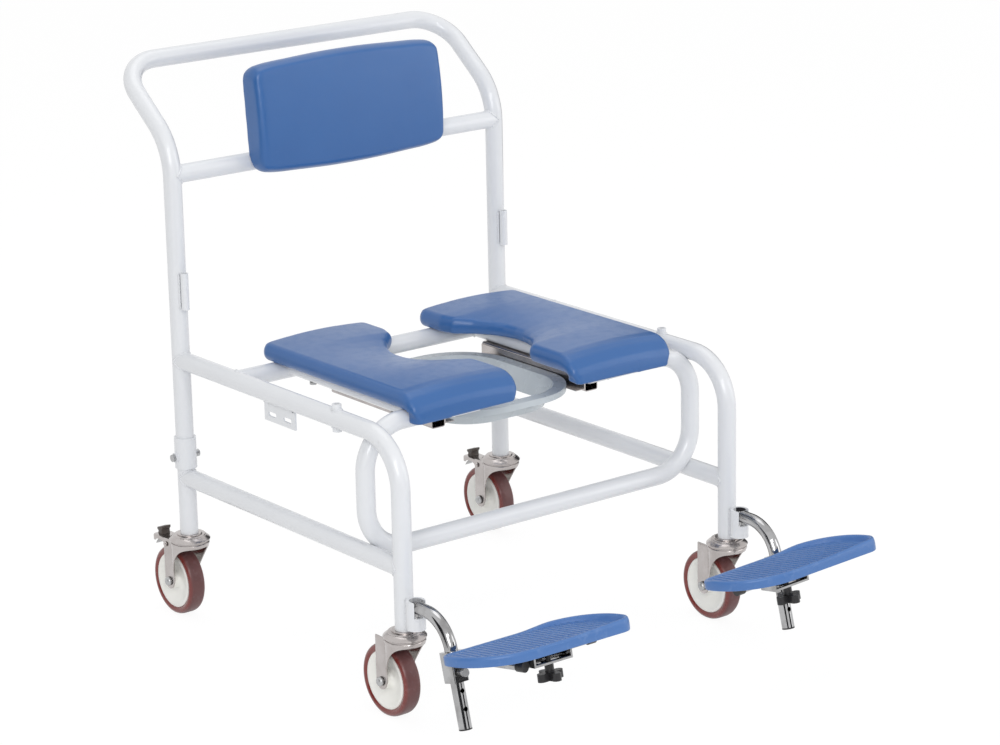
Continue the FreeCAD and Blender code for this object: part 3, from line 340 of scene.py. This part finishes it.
def clamped(value):
    return min(max(value, 0), 1)


def vertsOf(made):
    return [part for part in made if isinstance(part, bmesh.types.BMVert)]


# rounds edges by a width in millimetres
def rounded(shell, edges, width, segments):
    bmesh.ops.bevel(shell, geom=edges, offset=width * mm, offset_type="OFFSET", affect="EDGES",
                    segments=segments, profile=0.5, material=-1)


def steepEdges(shell, angle=60):
    return [edge for edge in shell.edges if edge.calc_face_angle(0) > math.radians(angle)]


# flat outline of points in millimetres, pushed along a vector into a closed bar
def pushedOut(shell, points, move):
    outline = shell.faces.new([shell.verts.new(Vector(point) * mm) for point in points])
    made = bmesh.ops.extrude_face_region(shell, geom=[outline])["geom"]
    bmesh.ops.translate(shell, verts=vertsOf(made), vec=Vector(move) * mm)


# full turn of a profile of (radius, height) points in millimetres about the Z or X axis;
# what the bmesh held before carries a tag, and only the new turning is put in its place
def turned(shell, profile, place, steps, axis="Z"):
    points = [shell.verts.new((radius * mm, 0, height * mm)) for radius, height in profile]
    edges = [shell.edges.new(pair) for pair in zip(points, points[1:])]
    bmesh.ops.spin(shell, geom=points + edges, cent=(0, 0, 0), axis=(0, 0, 1), angle=2 * math.pi,
                   steps=steps, use_merge=True)
    fresh = [vert for vert in shell.verts if not vert.tag]
    if axis == "X":
        bmesh.ops.rotate(shell, verts=fresh, cent=(0, 0, 0), matrix=Matrix.Rotation(math.pi / 2, 3, "Y"))
    bmesh.ops.translate(shell, verts=fresh, vec=place)
    for vert in fresh:
        vert.tag = True


def tagAll(shell):
    for vert in shell.verts:
        vert.tag = True


# moulded pads: the solid is remeshed evenly and eased, and each easing step is followed
# by one that gives the volume back
pads = {
    "seat_pad_left": {"voxel": 0.0036, "ease": 3, "swell": 0.0003, "fill": 0.95},
    "seat_pad_right": {"voxel": 0.0036, "ease": 3, "swell": 0.0003, "fill": 0.95},
    "back_pad": {"voxel": 0.0036, "ease": 3, "swell": 0.0003, "fill": 0.95},
}
easing = (0.5, -0.52)


def remeshed(node, voxel):
    work = bpy.data.objects.new("padWork", nodes[node].data.copy())
    bpy.context.scene.collection.objects.link(work)
    shell = bmesh.new()
    shell.from_mesh(work.data)
    bmesh.ops.remove_doubles(shell, verts=shell.verts, dist=0.00002)
    shell.to_mesh(work.data)
    shell.free()
    remesh = work.modifiers.new("remesh", "REMESH")
    remesh.mode, remesh.voxel_size = "VOXEL", voxel
    mesh = applied(work)
    bpy.data.objects.remove(work)
    return mesh


def makePad(node, settings):
    mesh = remeshed(node, settings["voxel"])
    shell = bmesh.new()
    shell.from_mesh(mesh)
    for factor in easing * settings["ease"]:
        bmesh.ops.smooth_vert(shell, verts=shell.verts, factor=factor,
                              use_axis_x=True, use_axis_y=True, use_axis_z=True)
    shell.normal_update()
    for vert in shell.verts:
        vert.co += vert.normal * settings["swell"]
    shell.to_mesh(mesh)
    shell.free()
    pad = addPiece(node.replace("_", ".") + ".skin", mesh, "frame", "pad_blue")
    finer = pad.modifiers.new("finer", "SUBSURF")
    finer.levels = finer.render_levels = 1
    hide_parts(node)
    print("pad", node, len(mesh.vertices))


for node, settings in pads.items():
    makePad(node, settings)


# castor sizes in millimetres: profiles are (radius, height), or (radius, across) for the axle's pieces
castor = {
    "trail": 40, "axle": 62.5, "top": 141, "race": 33.4, "strip": 21.5, "rear": 54, "sheet": 2.6,
    "foot": 14, "front": 136.6, "sweep": 2.4, "rim": 0.6, "treadFrom": 59.6, "treadOver": 2.2,
    "steps": {"skirt": 40, "arm": 8, "wall": 10, "race": 64, "hub": 72, "tyre": 96, "bolt": 32, "head": 72},
    "sharp": {"fork": 32, "hub": 50, "tyre": 50, "bolt": 40, "head": 30},
    "head": [(0, 200), (13.9, 200), (13.9, 160.2), (21.5, 160.2), (22.6, 159.4), (22.6, 158.2), (27.6, 157.8),
             (28.6, 157), (28.8, 155.8), (30.2, 155.2), (35.6, 150.8), (36.5, 149.6), (36.5, 148),
             (35.6, 147.2), (6, 147.1), (6, 137.6), (10, 137.6), (10, 131.4), (0, 131.4)],
    "raceRing": [(6.1, 138.2), (32.5, 138.2), (34.2, 139), (35, 140.4), (35, 143), (34.2, 144.2),
                 (33.2, 144.6), (33.2, 146.4), (6.1, 146.4), (6.1, 138.2)],
    "bolt": [(0, -29), (4, -28.8), (6.6, -27.4), (8, -25.2), (8.2, -23.2), (6, -23.1), (6, 23.1), (8.2, 23.2),
             (8, 25.2), (6.6, 27.4), (4, 28.8), (0, 29)],
    "hub": [(6.1, -19.6), (12.6, -19.6), (13.6, -19), (14.2, -12), (15.6, -8), (19, -5.6), (26, -6.4),
            (34, -9.2), (40.5, -12.2), (43.4, -14), (45, -14.6), (48.8, -14.6), (49.9, -13.6)],
    "tyre": [(50, -13.2), (53.4, -15.6), (55.6, -16), (58.2, -15.4), (60.4, -13.8), (61.8, -11), (62.4, -8)],
}


# lower edge of the fork's sheet at a distance behind the swivel axis
def forkEdge(y):
    foot, axle, trail = castor["foot"], castor["axle"], castor["trail"]
    if y >= trail - foot:
        return axle - math.sqrt(max(foot ** 2 - (y - trail) ** 2, 0))
    ahead = min((trail - foot - y) / (trail - foot + castor["race"]), 1)
    return axle + (castor["front"] - axle) * (1 - (1 - ahead) ** castor["sweep"])


# pressed fork: a skirt round the race that runs back into two straight arms, arched at the front
def makeFork(corner):
    shell = bmesh.new()
    start = math.asin(castor["strip"] / castor["race"])
    reach = math.sqrt(castor["race"] ** 2 - castor["strip"] ** 2)
    first = shell.verts.new((castor["strip"] * mm, reach * mm, castor["top"] * mm))
    steps = castor["steps"]
    bmesh.ops.spin(shell, geom=[first], cent=(0, 0, 0), axis=(0, 0, 1), angle=-2 * (math.pi - start),
                   steps=steps["skirt"])
    stride = (castor["rear"] - reach) / steps["arm"] * mm
    for side in sides.values():
        root = Vector((side * castor["strip"], reach, castor["top"])) * mm
        end = min(shell.verts, key=lambda vert: (vert.co - root).length)
        for step in range(steps["arm"]):
            made = bmesh.ops.extrude_vert_indiv(shell, verts=[end])["verts"]
            bmesh.ops.translate(shell, verts=made, vec=(0, stride, 0))
            end = made[0]
    for vert in vertsOf(bmesh.ops.extrude_edge_only(shell, edges=shell.edges[:])["geom"]):
        vert.co.z = forkEdge(vert.co.y / mm) * mm
    upright = [edge for edge in shell.edges if (edge.verts[0].co - edge.verts[1].co).xy.length < 1e-7]
    bmesh.ops.subdivide_edges(shell, edges=upright, cuts=steps["wall"], use_grid_fill=True)
    bmesh.ops.recalc_face_normals(shell, faces=shell.faces)
    bmesh.ops.solidify(shell, geom=shell.faces[:], thickness=castor["sheet"] * mm)
    rounded(shell, steepEdges(shell), castor["rim"], 2)
    tagAll(shell)
    turned(shell, castor["raceRing"], (0, 0, 0), steps["race"])
    if corner.startswith("rear"):
        turned(shell, brake["pin"], Vector((0, brake["pinY"], brake["pinZ"])) * mm, brake["pinSteps"], "X")
    bmesh.ops.translate(shell, verts=shell.verts, vec=(*castorPlaces[corner], 0))
    sharp = castor["sharp"]["fork"]
    finishPiece("fork." + corner, shell, "castor_" + corner, "stainless", sharp, "castor_fork_" + corner)


# profile of one half, carried over to the other half and closed
def bothHalves(half):
    return half + [(radius, -across) for radius, across in reversed(half)] + half[:1]


def makeWheel(corner):
    x, y = castorPlaces[corner]
    middle = (x, y + castor["trail"] * mm, castor["axle"] * mm)
    steps, sharp = castor["steps"], castor["sharp"]
    wheel = "wheel_" + corner
    hub = bmesh.new()
    turned(hub, bothHalves(castor["hub"]), middle, steps["hub"], "X")
    finishPiece("hub." + corner, hub, wheel, "hub_white", sharp["hub"], "castor_hub_" + corner)
    tyre = bmesh.new()
    turned(tyre, bothHalves(castor["tyre"]), middle, steps["tyre"], "X")
    piece = finishPiece("tyre." + corner, tyre, wheel, "tyre_red", sharp["tyre"], "castor_tyre_" + corner)
    tread = piece.data.attributes.new("tread", "FLOAT", "POINT")
    for index, vert in enumerate(piece.data.vertices):
        radius = math.hypot(vert.co.y - middle[1], vert.co.z - middle[2]) / mm
        tread.data[index].value = clamped((radius - castor["treadFrom"]) / castor["treadOver"])
    bolt = bmesh.new()
    turned(bolt, castor["bolt"], middle, steps["bolt"], "X")
    fork = "castor_" + corner
    finishPiece("axleBolt." + corner, bolt, fork, "zinc", sharp["bolt"], "castor_axle_" + corner)


# brake sizes in millimetres, from the swivel axis to the rear and from the floor up
brake = {
    "pinY": 46, "pinZ": 131, "half": 17, "front": 42, "rear": 100, "top": 136.5, "corner": 8, "fold": 2.4,
    "sheet": 2.2, "wallLow": 126.4, "archFrom": 60, "archTo": 90, "arch": 5.2, "archCurve": 0.6,
    "flankStep": 2, "cornerSteps": 10, "pinSteps": 24, "sharp": {"lever": 34, "tongue": 34, "pedal": 40},
    "shoe": {"place": (0, 60, 130.2), "size": (17, 4, 9.4)},
    "pin": [(0, -25.4), (3, -25.2), (4.4, -24.4), (4.9, -23), (3, -22.9), (3, 22.9), (4.9, 23), (4.4, 24.4),
            (3, 25.2), (0, 25.4)],
    "tongue": [(76, 133.6, 24), (82, 131.4, 24), (88, 127.8, 23), (94, 122.8, 21), (99, 117.6, 18),
               (103, 114.6, 15)],     # y, z, width
    "pedal": [(-6.5, 0), (6.5, 0), (5.6, 2.6), (5, 6), (8.5, 7.6), (8.7, 11.4), (-8.6, 16.5), (-8.9, 12.4),
              (-5.4, 8.4), (-5.6, 3)],
    "pedalY": 85.5, "pedalHalf": 9, "pedalRound": 0.8,
}


# lower edge of the lever's side walls: arched between the pin and the rear end
def leverEdge(y):
    along = (y - brake["archFrom"]) / (brake["archTo"] - brake["archFrom"])
    if not 0 < along < 1:
        return brake["wallLow"]
    return brake["wallLow"] + brake["arch"] * math.sin(math.pi * along) ** brake["archCurve"]


# outline of the lever's roof: straight sides in short steps and two round rear corners
def leverOutline():
    half, front, rear, corner = (brake[key] for key in ("half", "front", "rear", "corner"))
    count = int((rear - corner - front) / brake["flankStep"]) + 1
    flank = [(-half, front + brake["flankStep"] * step) for step in range(count)]
    for step in range(1, brake["cornerSteps"] + 1):
        turn = math.pi / 2 * step / brake["cornerSteps"]
        flank.append((-half + corner - corner * math.cos(turn), rear - corner + corner * math.sin(turn)))
    return flank + [(-x, y) for x, y in reversed(flank)]


def makeLever(side):
    shell = bmesh.new()
    roof = shell.faces.new([shell.verts.new(Vector((x, y, brake["top"])) * mm) for x, y in leverOutline()])
    frontEdge = brake["front"] * mm + 1e-6
    folded = [edge for edge in roof.edges if max(vert.co.y for vert in edge.verts) > frontEdge]
    for vert in vertsOf(bmesh.ops.extrude_edge_only(shell, edges=folded)["geom"]):
        vert.co.z = leverEdge(vert.co.y / mm) * mm
    bmesh.ops.recalc_face_normals(shell, faces=shell.faces)
    rounded(shell, steepEdges(shell), brake["fold"], 3)
    bmesh.ops.solidify(shell, geom=shell.faces[:], thickness=brake["sheet"] * mm)
    place = Matrix.Translation(Vector(brake["shoe"]["place"]) * mm)
    size = Matrix.Diagonal(Vector(brake["shoe"]["size"]) * mm).to_4x4()
    bmesh.ops.create_cube(shell, size=1, matrix=place @ size)
    bmesh.ops.translate(shell, verts=shell.verts, vec=(*castorPlaces["rear_" + side], 0))
    sharp = brake["sharp"]["lever"]
    finishPiece("brakeLever." + side, shell, "brake_" + side, "stainless", sharp, "brake_lever_" + side)


# plated tongue that runs down behind the wheel: a sheet without thickness, drawn out from its root edge
def makeTongue(side):
    strip = bmesh.new()
    y, z, wide = brake["tongue"][0]
    edge = strip.edges.new([strip.verts.new(Vector((x, y, z)) * mm) for x in (-wide / 2, wide / 2)])
    for y, z, wide in brake["tongue"][1:]:
        made = bmesh.ops.extrude_edge_only(strip, edges=[edge])["geom"]
        edge = next(part for part in made if isinstance(part, bmesh.types.BMEdge))
        for vert in edge.verts:
            vert.co = Vector((math.copysign(wide / 2, vert.co.x), y, z)) * mm
    bmesh.ops.translate(strip, verts=strip.verts, vec=(*castorPlaces["rear_" + side], 0))
    finishPiece("brakeTongue." + side, strip, "brake_" + side, "zinc", brake["sharp"]["tongue"])


def makePedal(side):
    shell = bmesh.new()
    half = brake["pedalHalf"]
    outline = [(-half, brake["pedalY"] + y, brake["top"] + z) for y, z in brake["pedal"]]
    pushedOut(shell, outline, (2 * half, 0, 0))
    bmesh.ops.recalc_face_normals(shell, faces=shell.faces)
    rounded(shell, shell.edges[:], brake["pedalRound"], 2)
    bmesh.ops.translate(shell, verts=shell.verts, vec=(*castorPlaces["rear_" + side], 0))
    body, sharp = "brake_" + side, brake["sharp"]["pedal"]
    pedal = finishPiece("brakePedal." + side, shell, body, "black_plastic", sharp, "brake_pedal_" + side)
    pedal.data.materials[0] = finishes["pedal_brown"]


def makeHeads():
    heads = bmesh.new()
    for place in castorPlaces.values():
        turned(heads, castor["head"], (*place, 0), castor["steps"]["head"])
    finishPiece("castorHeads", heads, "frame", "stainless", castor["sharp"]["head"], "castor_stems")


for corner in castorPlaces:
    makeFork(corner)
    makeWheel(corner)
for side in sides:
    makeLever(side)
    makeTongue(side)
    makePedal(side)
makeHeads()
print("castors made")


# foot plates in millimetres: a slab with a rounded rim, a sunk tread with ribs across it and a boss
# for the stud; rings are (inset from the outline, height)
plate = {
    "half": (150, 64), "corners": (24, 100, 24, 100), "leastCorner": 4, "steps": 16, "sharp": 36,
    "middle": (271, -499.5, 197), "tilt": 10,
    "roll": {"left": 0, "right": 2.7}, "lift": {"left": 0, "right": 4},
    "rings": [(2.4, -17), (0.7, -16.4), (0, -14.8), (0, -5), (0.4, -2.6), (1.5, -0.9), (3.2, -0.1),
              (5.4, 0.2), (7.6, -0.3), (9.3, -1.5), (10.4, -2.9), (11.4, -3.8), (12.6, -4)],
    "sunk": 4, "rise": 6, "riseFrom": 20,
    "fall": 2.4, "fallFrom": 30, "fallOver": 20, "fallEnd": 70, "fallEase": 60,
    "ribPitch": 10, "ribMargin": 16, "ribInset": 11.8,
    "rib": [(-2.3, -4.3), (-1.4, -2.9), (1.4, -2.9), (2.3, -4.3)],
    "boss": [(0, -20), (12.2, -20), (13, -19.2), (13, -16.6), (0, -16.6)], "bossSteps": 40,
    "stud": {"left": (4, -17), "right": (-17, -2)},
}


# points on the straight run from one point to the next, both left out
def between(first, last):
    steps = plate["steps"]
    return [tuple(a + (b - a) * step / steps for a, b in zip(first, last)) for step in range(1, steps)]


# outline of the plate drawn in by an inset, two corners small and two large
def plateOutline(inset):
    halfX, halfY = (half - inset for half in plate["half"])
    points = []
    for quarter, (sideX, sideY) in enumerate([(-1, 1), (-1, -1), (1, -1), (1, 1)]):
        radius = max(plate["corners"][quarter] - inset, plate["leastCorner"])
        x, y = sideX * (halfX - radius), sideY * (halfY - radius)
        turns = [math.pi / 2 * (quarter + 1 + step / plate["steps"]) for step in range(plate["steps"] + 1)]
        corner = [(x + radius * math.cos(turn), y + radius * math.sin(turn)) for turn in turns]
        if points:
            points += between(points[-1], corner[0])
        points += corner
    return points + between(points[-1], points[0])


# height that the rim gains towards the right-hand end and loses along the rear edge
def rimLift(x, y, z):
    rim = clamped((z + plate["sunk"]) / plate["sunk"])
    rise = plate["rise"] * clamped((x - plate["riseFrom"]) / (plate["half"][0] - plate["riseFrom"]))
    rear = clamped((y - plate["fallFrom"]) / plate["fallOver"])
    return rim * (rise - plate["fall"] * rear * clamped((plate["fallEnd"] - x) / plate["fallEase"]))


# front and rear end of the rib at x, where it runs into the rim
def ribSpan(x):
    edge = plateOutline(plate["ribInset"])
    crossed = [y0 + (y1 - y0) * (x - x0) / (x1 - x0) for (x0, y0), (x1, y1) in zip(edge, edge[1:] + edge[:1])
               if (x0 - x) * (x1 - x) <= 0 and x0 != x1]
    return min(crossed), max(crossed)


def ringLoop(shell, inset, z):
    spots = [shell.verts.new(Vector((x, y, z + rimLift(x, y, z))) * mm) for x, y in plateOutline(inset)]
    return [shell.edges.new(pair) for pair in zip(spots, spots[1:] + spots[:1])]


def makePlate(side):
    shell = bmesh.new()
    loops = [ringLoop(shell, inset, z) for inset, z in plate["rings"]]
    for low, high in zip(loops, loops[1:]):
        bmesh.ops.bridge_loops(shell, edges=low + high)
    bmesh.ops.contextual_create(shell, geom=loops[0])
    bmesh.ops.contextual_create(shell, geom=loops[-1])
    count = int(2 * (plate["half"][0] - plate["ribMargin"]) / plate["ribPitch"])
    for index in range(count):
        x = (index - (count - 1) / 2) * plate["ribPitch"]
        front, rear = ribSpan(x)
        pushedOut(shell, [(x + across, front, z) for across, z in plate["rib"]], (0, rear - front, 0))
    tagAll(shell)
    turned(shell, plate["boss"], Vector((*plate["stud"][side], 0)) * mm, plate["bossSteps"])
    roll = Matrix.Rotation(-math.radians(plate["roll"][side]), 4, "Y")
    tilt = Matrix.Rotation(-math.radians(plate["tilt"]), 4, "X")
    x, y, z = plate["middle"]
    place = Matrix.Translation(Vector((sides[side] * x, y, z + plate["lift"][side])) * mm)
    bmesh.ops.transform(shell, matrix=place @ roll @ tilt, verts=shell.verts)
    body, sharp = "plate_" + side, plate["sharp"]
    finishPiece("footPlate." + side, shell, body, "plate_blue", sharp, "foot_plate_" + side)


for side in sides:
    makePlate(side)
print("foot plates made")


# ripples of weld where one tube runs into another: places in metres, the bead and tube radii in millimetres
welds = {
    "bead": 1.9, "ripple": 0.3, "rippleTurn": 2.1, "points": 72, "step": 0.002, "tube": 16,
    "seat": 0.478, "lower": 0.264, "backTube": 0.808, "rearTube": 0.172, "loopBar": 0.547,
    "bushY": 0.472, "bush": 8, "onTube": 0.0158,
    "bearers": [{"x": 0.165, "radius": 16, "offset": 0}, {"x": 0.238, "radius": 12.5, "offset": 3.5}],
    "armrestSocket": {"half": 0.0065, "low": 0.575, "count": 31},
    "footrestSocket": {"half": 0.0085, "low": 0.171, "count": 23},
    "accessoryPlate": {"half": 0.0028, "y": 0.262, "z": 0.4618, "count": 44},
}


# closed line where a tube of radius small runs into the tube round at, in the direction that into gives
def saddle(at, into, along, small=welds["tube"], offset=0.0):
    at, into, along = Vector(at), Vector(into), Vector(along)
    across = into.cross(along)
    large = welds["tube"]
    points = []
    for step in range(welds["points"]):
        turn = 2 * math.pi * step / welds["points"]
        side = small * math.sin(turn) + offset
        depth = math.sqrt(max(large ** 2 - side ** 2, 0))
        points.append(at + along * (small * math.cos(turn) * mm) + across * (side * mm) + into * (depth * mm))
    return points


def seam(start, along, count):
    return [Vector(start) + Vector(along) * (welds["step"] * step) for step in range(count)]


def saddleLines(x, side):
    rear, front, seat, lower = legs["rear"], legs["front"], welds["seat"], welds["lower"]
    lines = [
        saddle((x, rear, seat), (0, -1, 0), (0, 0, 1)),
        saddle((x, rear, lower), (0, -1, 0), (0, 0, 1)),
        saddle((x, front, lower), (0, 1, 0), (0, 0, 1)),
        saddle((x, rear, welds["backTube"]), (-side, 0, 0), (0, 0, 1)),
        saddle((x, rear - welds["rearTube"], seat), (-side, 0, 0), (0, 1, 0)),
    ]
    for bearer in welds["bearers"]:
        at, radius, offset = side * bearer["x"], bearer["radius"], bearer["offset"]
        lines.append(saddle((at, rear - welds["rearTube"], seat), (0, -1, 0), (1, 0, 0), radius, offset))
        lines.append(saddle((at, rear - welds["loopBar"], seat), (0, 1, 0), (1, 0, 0), radius, -offset))
    for up in (1, -1):
        lines.append(saddle((x, rear - welds["bushY"], seat), (0, 0, up), (0, 1, 0), welds["bush"]))
    return lines


def seamLines(x):
    accessory = welds["accessoryPlate"]
    lines = []
    for edge in (-1, 1):
        for socket, y in ((welds["armrestSocket"], legs["rear"]), (welds["footrestSocket"], legs["front"])):
            start = (x + edge * socket["half"], y - welds["onTube"], socket["low"])
            lines.append(seam(start, (0, 0, 1), socket["count"]))
        start = (x + edge * accessory["half"], legs["rear"] - accessory["y"], accessory["z"])
        lines.append(seam(start, (0, -1, 0), accessory["count"]))
    return lines


def addBeads(curve, lines, closed):
    for points in lines:
        spline = curve.splines.new("POLY")
        spline.points.add(len(points) - 1)
        spline.use_cyclic_u = closed
        for index, (spot, point) in enumerate(zip(spline.points, points)):
            spot.co = (*point, 1)
            spot.radius = 1 + welds["ripple"] * math.sin(index * welds["rippleTurn"])


def makeWelds():
    curve = bpy.data.curves.new("weldLines", "CURVE")
    curve.dimensions, curve.bevel_depth, curve.bevel_resolution = "3D", welds["bead"] * mm, 2
    for side in sides.values():
        addBeads(curve, saddleLines(side * legs["x"], side), True)
        addBeads(curve, seamLines(side * legs["x"]), False)
    work = bpy.data.objects.new("weldWork", curve)
    bpy.context.scene.collection.objects.link(work)
    mesh = applied(work)
    bpy.data.objects.remove(work)
    addPiece("weldBeads", mesh, "frame", "frame_white")


makeWelds()
print("welds made")


# soft light, a white floor and a white surround
studio = {
    "surround": 0.62,
    "lamps": {
        "key": {"at": (-3.2, -3.8, 2.6), "size": 2.4, "power": 74},
        "fill": {"at": (3.4, -3.4, 1.6), "size": 3.0, "power": 34},
        "top": {"at": (0.4, 0.8, 4.2), "size": 3.0, "power": 24},
        "spark": {"at": (-1.2, -3.6, 3.4), "size": 0.5, "power": 14},
    },
    "cards": {
        "leftCard": {"at": (-3.4, 0.2, 0.9), "width": 2.2, "height": 2.6},
        "rightCard": {"at": (1.6, -3.6, 0.7), "width": 1.8, "height": 2.2},
        "farCard": {"at": (3.2, 1.6, 1.0), "width": 2.2, "height": 2.6},
        "lowCard": {"at": (-1.4, -2.0, 0.03), "width": 1.4, "height": 0.8},
    },
    "cardColour": (0.03, 0.03, 0.035, 1),
    "aim": (0, 0, 0.5),
    "floor": 30, "floorColour": (0.9, 0.9, 0.9, 1), "floorRoughness": 0.9,
    "glow": 1.05,          # what the camera and mirrors see of the floor
    "floorKeep": 0.12,     # share of the lit floor, with its shadow, left in that
}


def addStage(name, sheet, paint):
    mesh = bpy.data.meshes.new(name)
    sheet.to_mesh(mesh)
    sheet.free()
    mesh.materials.append(paint)
    prop = bpy.data.objects.new(name, mesh)
    bpy.context.scene.collection.objects.link(prop)
    return prop


# dark cards beside the set that only polished metal sees
def setCards():
    dark = bpy.data.materials.new("cardDark")
    dark.use_nodes = True
    shader = dark.node_tree.nodes["Principled BSDF"]
    shader.inputs["Base Color"].default_value = studio["cardColour"]
    shader.inputs["Roughness"].default_value = 1
    for name, card in studio["cards"].items():
        sheet = bmesh.new()
        bmesh.ops.create_grid(sheet, x_segments=1, y_segments=1, size=0.5)
        bmesh.ops.scale(sheet, verts=sheet.verts, vec=(card["width"], card["height"], 1))
        facing = (Vector(studio["aim"]) - Vector(card["at"])).to_track_quat("Z", "Y").to_matrix()
        bmesh.ops.rotate(sheet, verts=sheet.verts, cent=(0, 0, 0), matrix=facing)
        bmesh.ops.translate(sheet, verts=sheet.verts, vec=card["at"])
        prop = addStage(name, sheet, dark)
        prop.visible_camera = prop.visible_diffuse = prop.visible_shadow = prop.visible_transmission = False


# 1 for rays from the camera, from mirrors and through glass, 0 for the light on the object
def rayMask(tree):
    path = tree.nodes.new("ShaderNodeLightPath")
    total = path.outputs["Is Camera Ray"]
    for kind in ("Is Glossy Ray", "Is Transmission Ray"):
        either = tree.nodes.new("ShaderNodeMath")
        either.operation = "MAXIMUM"
        tree.links.new(total, either.inputs[0])
        tree.links.new(path.outputs[kind], either.inputs[1])
        total = either.outputs[0]
    return total


def setSurround():
    world = bpy.data.worlds.new("studio")
    bpy.context.scene.world = world
    world.use_nodes = True
    tree = world.node_tree
    surround = tree.nodes["Background"]
    surround.inputs["Color"].default_value = (1, 1, 1, 1)
    level = tree.nodes.new("ShaderNodeMapRange")
    level.inputs["To Min"].default_value = studio["surround"]
    level.inputs["To Max"].default_value = 1
    tree.links.new(rayMask(tree), level.inputs["Value"])
    tree.links.new(level.outputs["Result"], surround.inputs["Strength"])


def setLamps():
    for name, lamp in studio["lamps"].items():
        data = bpy.data.lights.new(name, "AREA")
        data.shape, data.size, data.energy = "DISK", lamp["size"], lamp["power"]
        light = bpy.data.objects.new(name, data)
        light.location = lamp["at"]
        light.rotation_euler = (Vector(studio["aim"]) - light.location).to_track_quat("-Z", "Y").to_euler()
        bpy.context.scene.collection.objects.link(light)


def setFloor():
    paint = bpy.data.materials.new("floorWhite")
    paint.use_nodes = True
    tree = paint.node_tree
    lit = tree.nodes["Principled BSDF"]
    lit.inputs["Base Color"].default_value = studio["floorColour"]
    lit.inputs["Roughness"].default_value = studio["floorRoughness"]
    lit.inputs["Specular IOR Level"].default_value = 0
    glow = tree.nodes.new("ShaderNodeEmission")
    glow.inputs["Strength"].default_value = studio["glow"]
    seen = tree.nodes.new("ShaderNodeMath")
    seen.operation = "MULTIPLY"
    seen.inputs[1].default_value = 1 - studio["floorKeep"]
    mix = tree.nodes.new("ShaderNodeMixShader")
    tree.links.new(rayMask(tree), seen.inputs[0])
    tree.links.new(seen.outputs[0], mix.inputs["Fac"])
    tree.links.new(lit.outputs[0], mix.inputs[1])
    tree.links.new(glow.outputs[0], mix.inputs[2])
    tree.links.new(mix.outputs[0], tree.nodes["Material Output"].inputs["Surface"])
    ground = bmesh.new()
    bmesh.ops.create_grid(ground, x_segments=1, y_segments=1, size=studio["floor"])
    addStage("floor", ground, paint)


bpy.context.scene.view_settings.view_transform = "Standard"
setSurround()
setLamps()
setCards()
setFloor()
print("studio set")
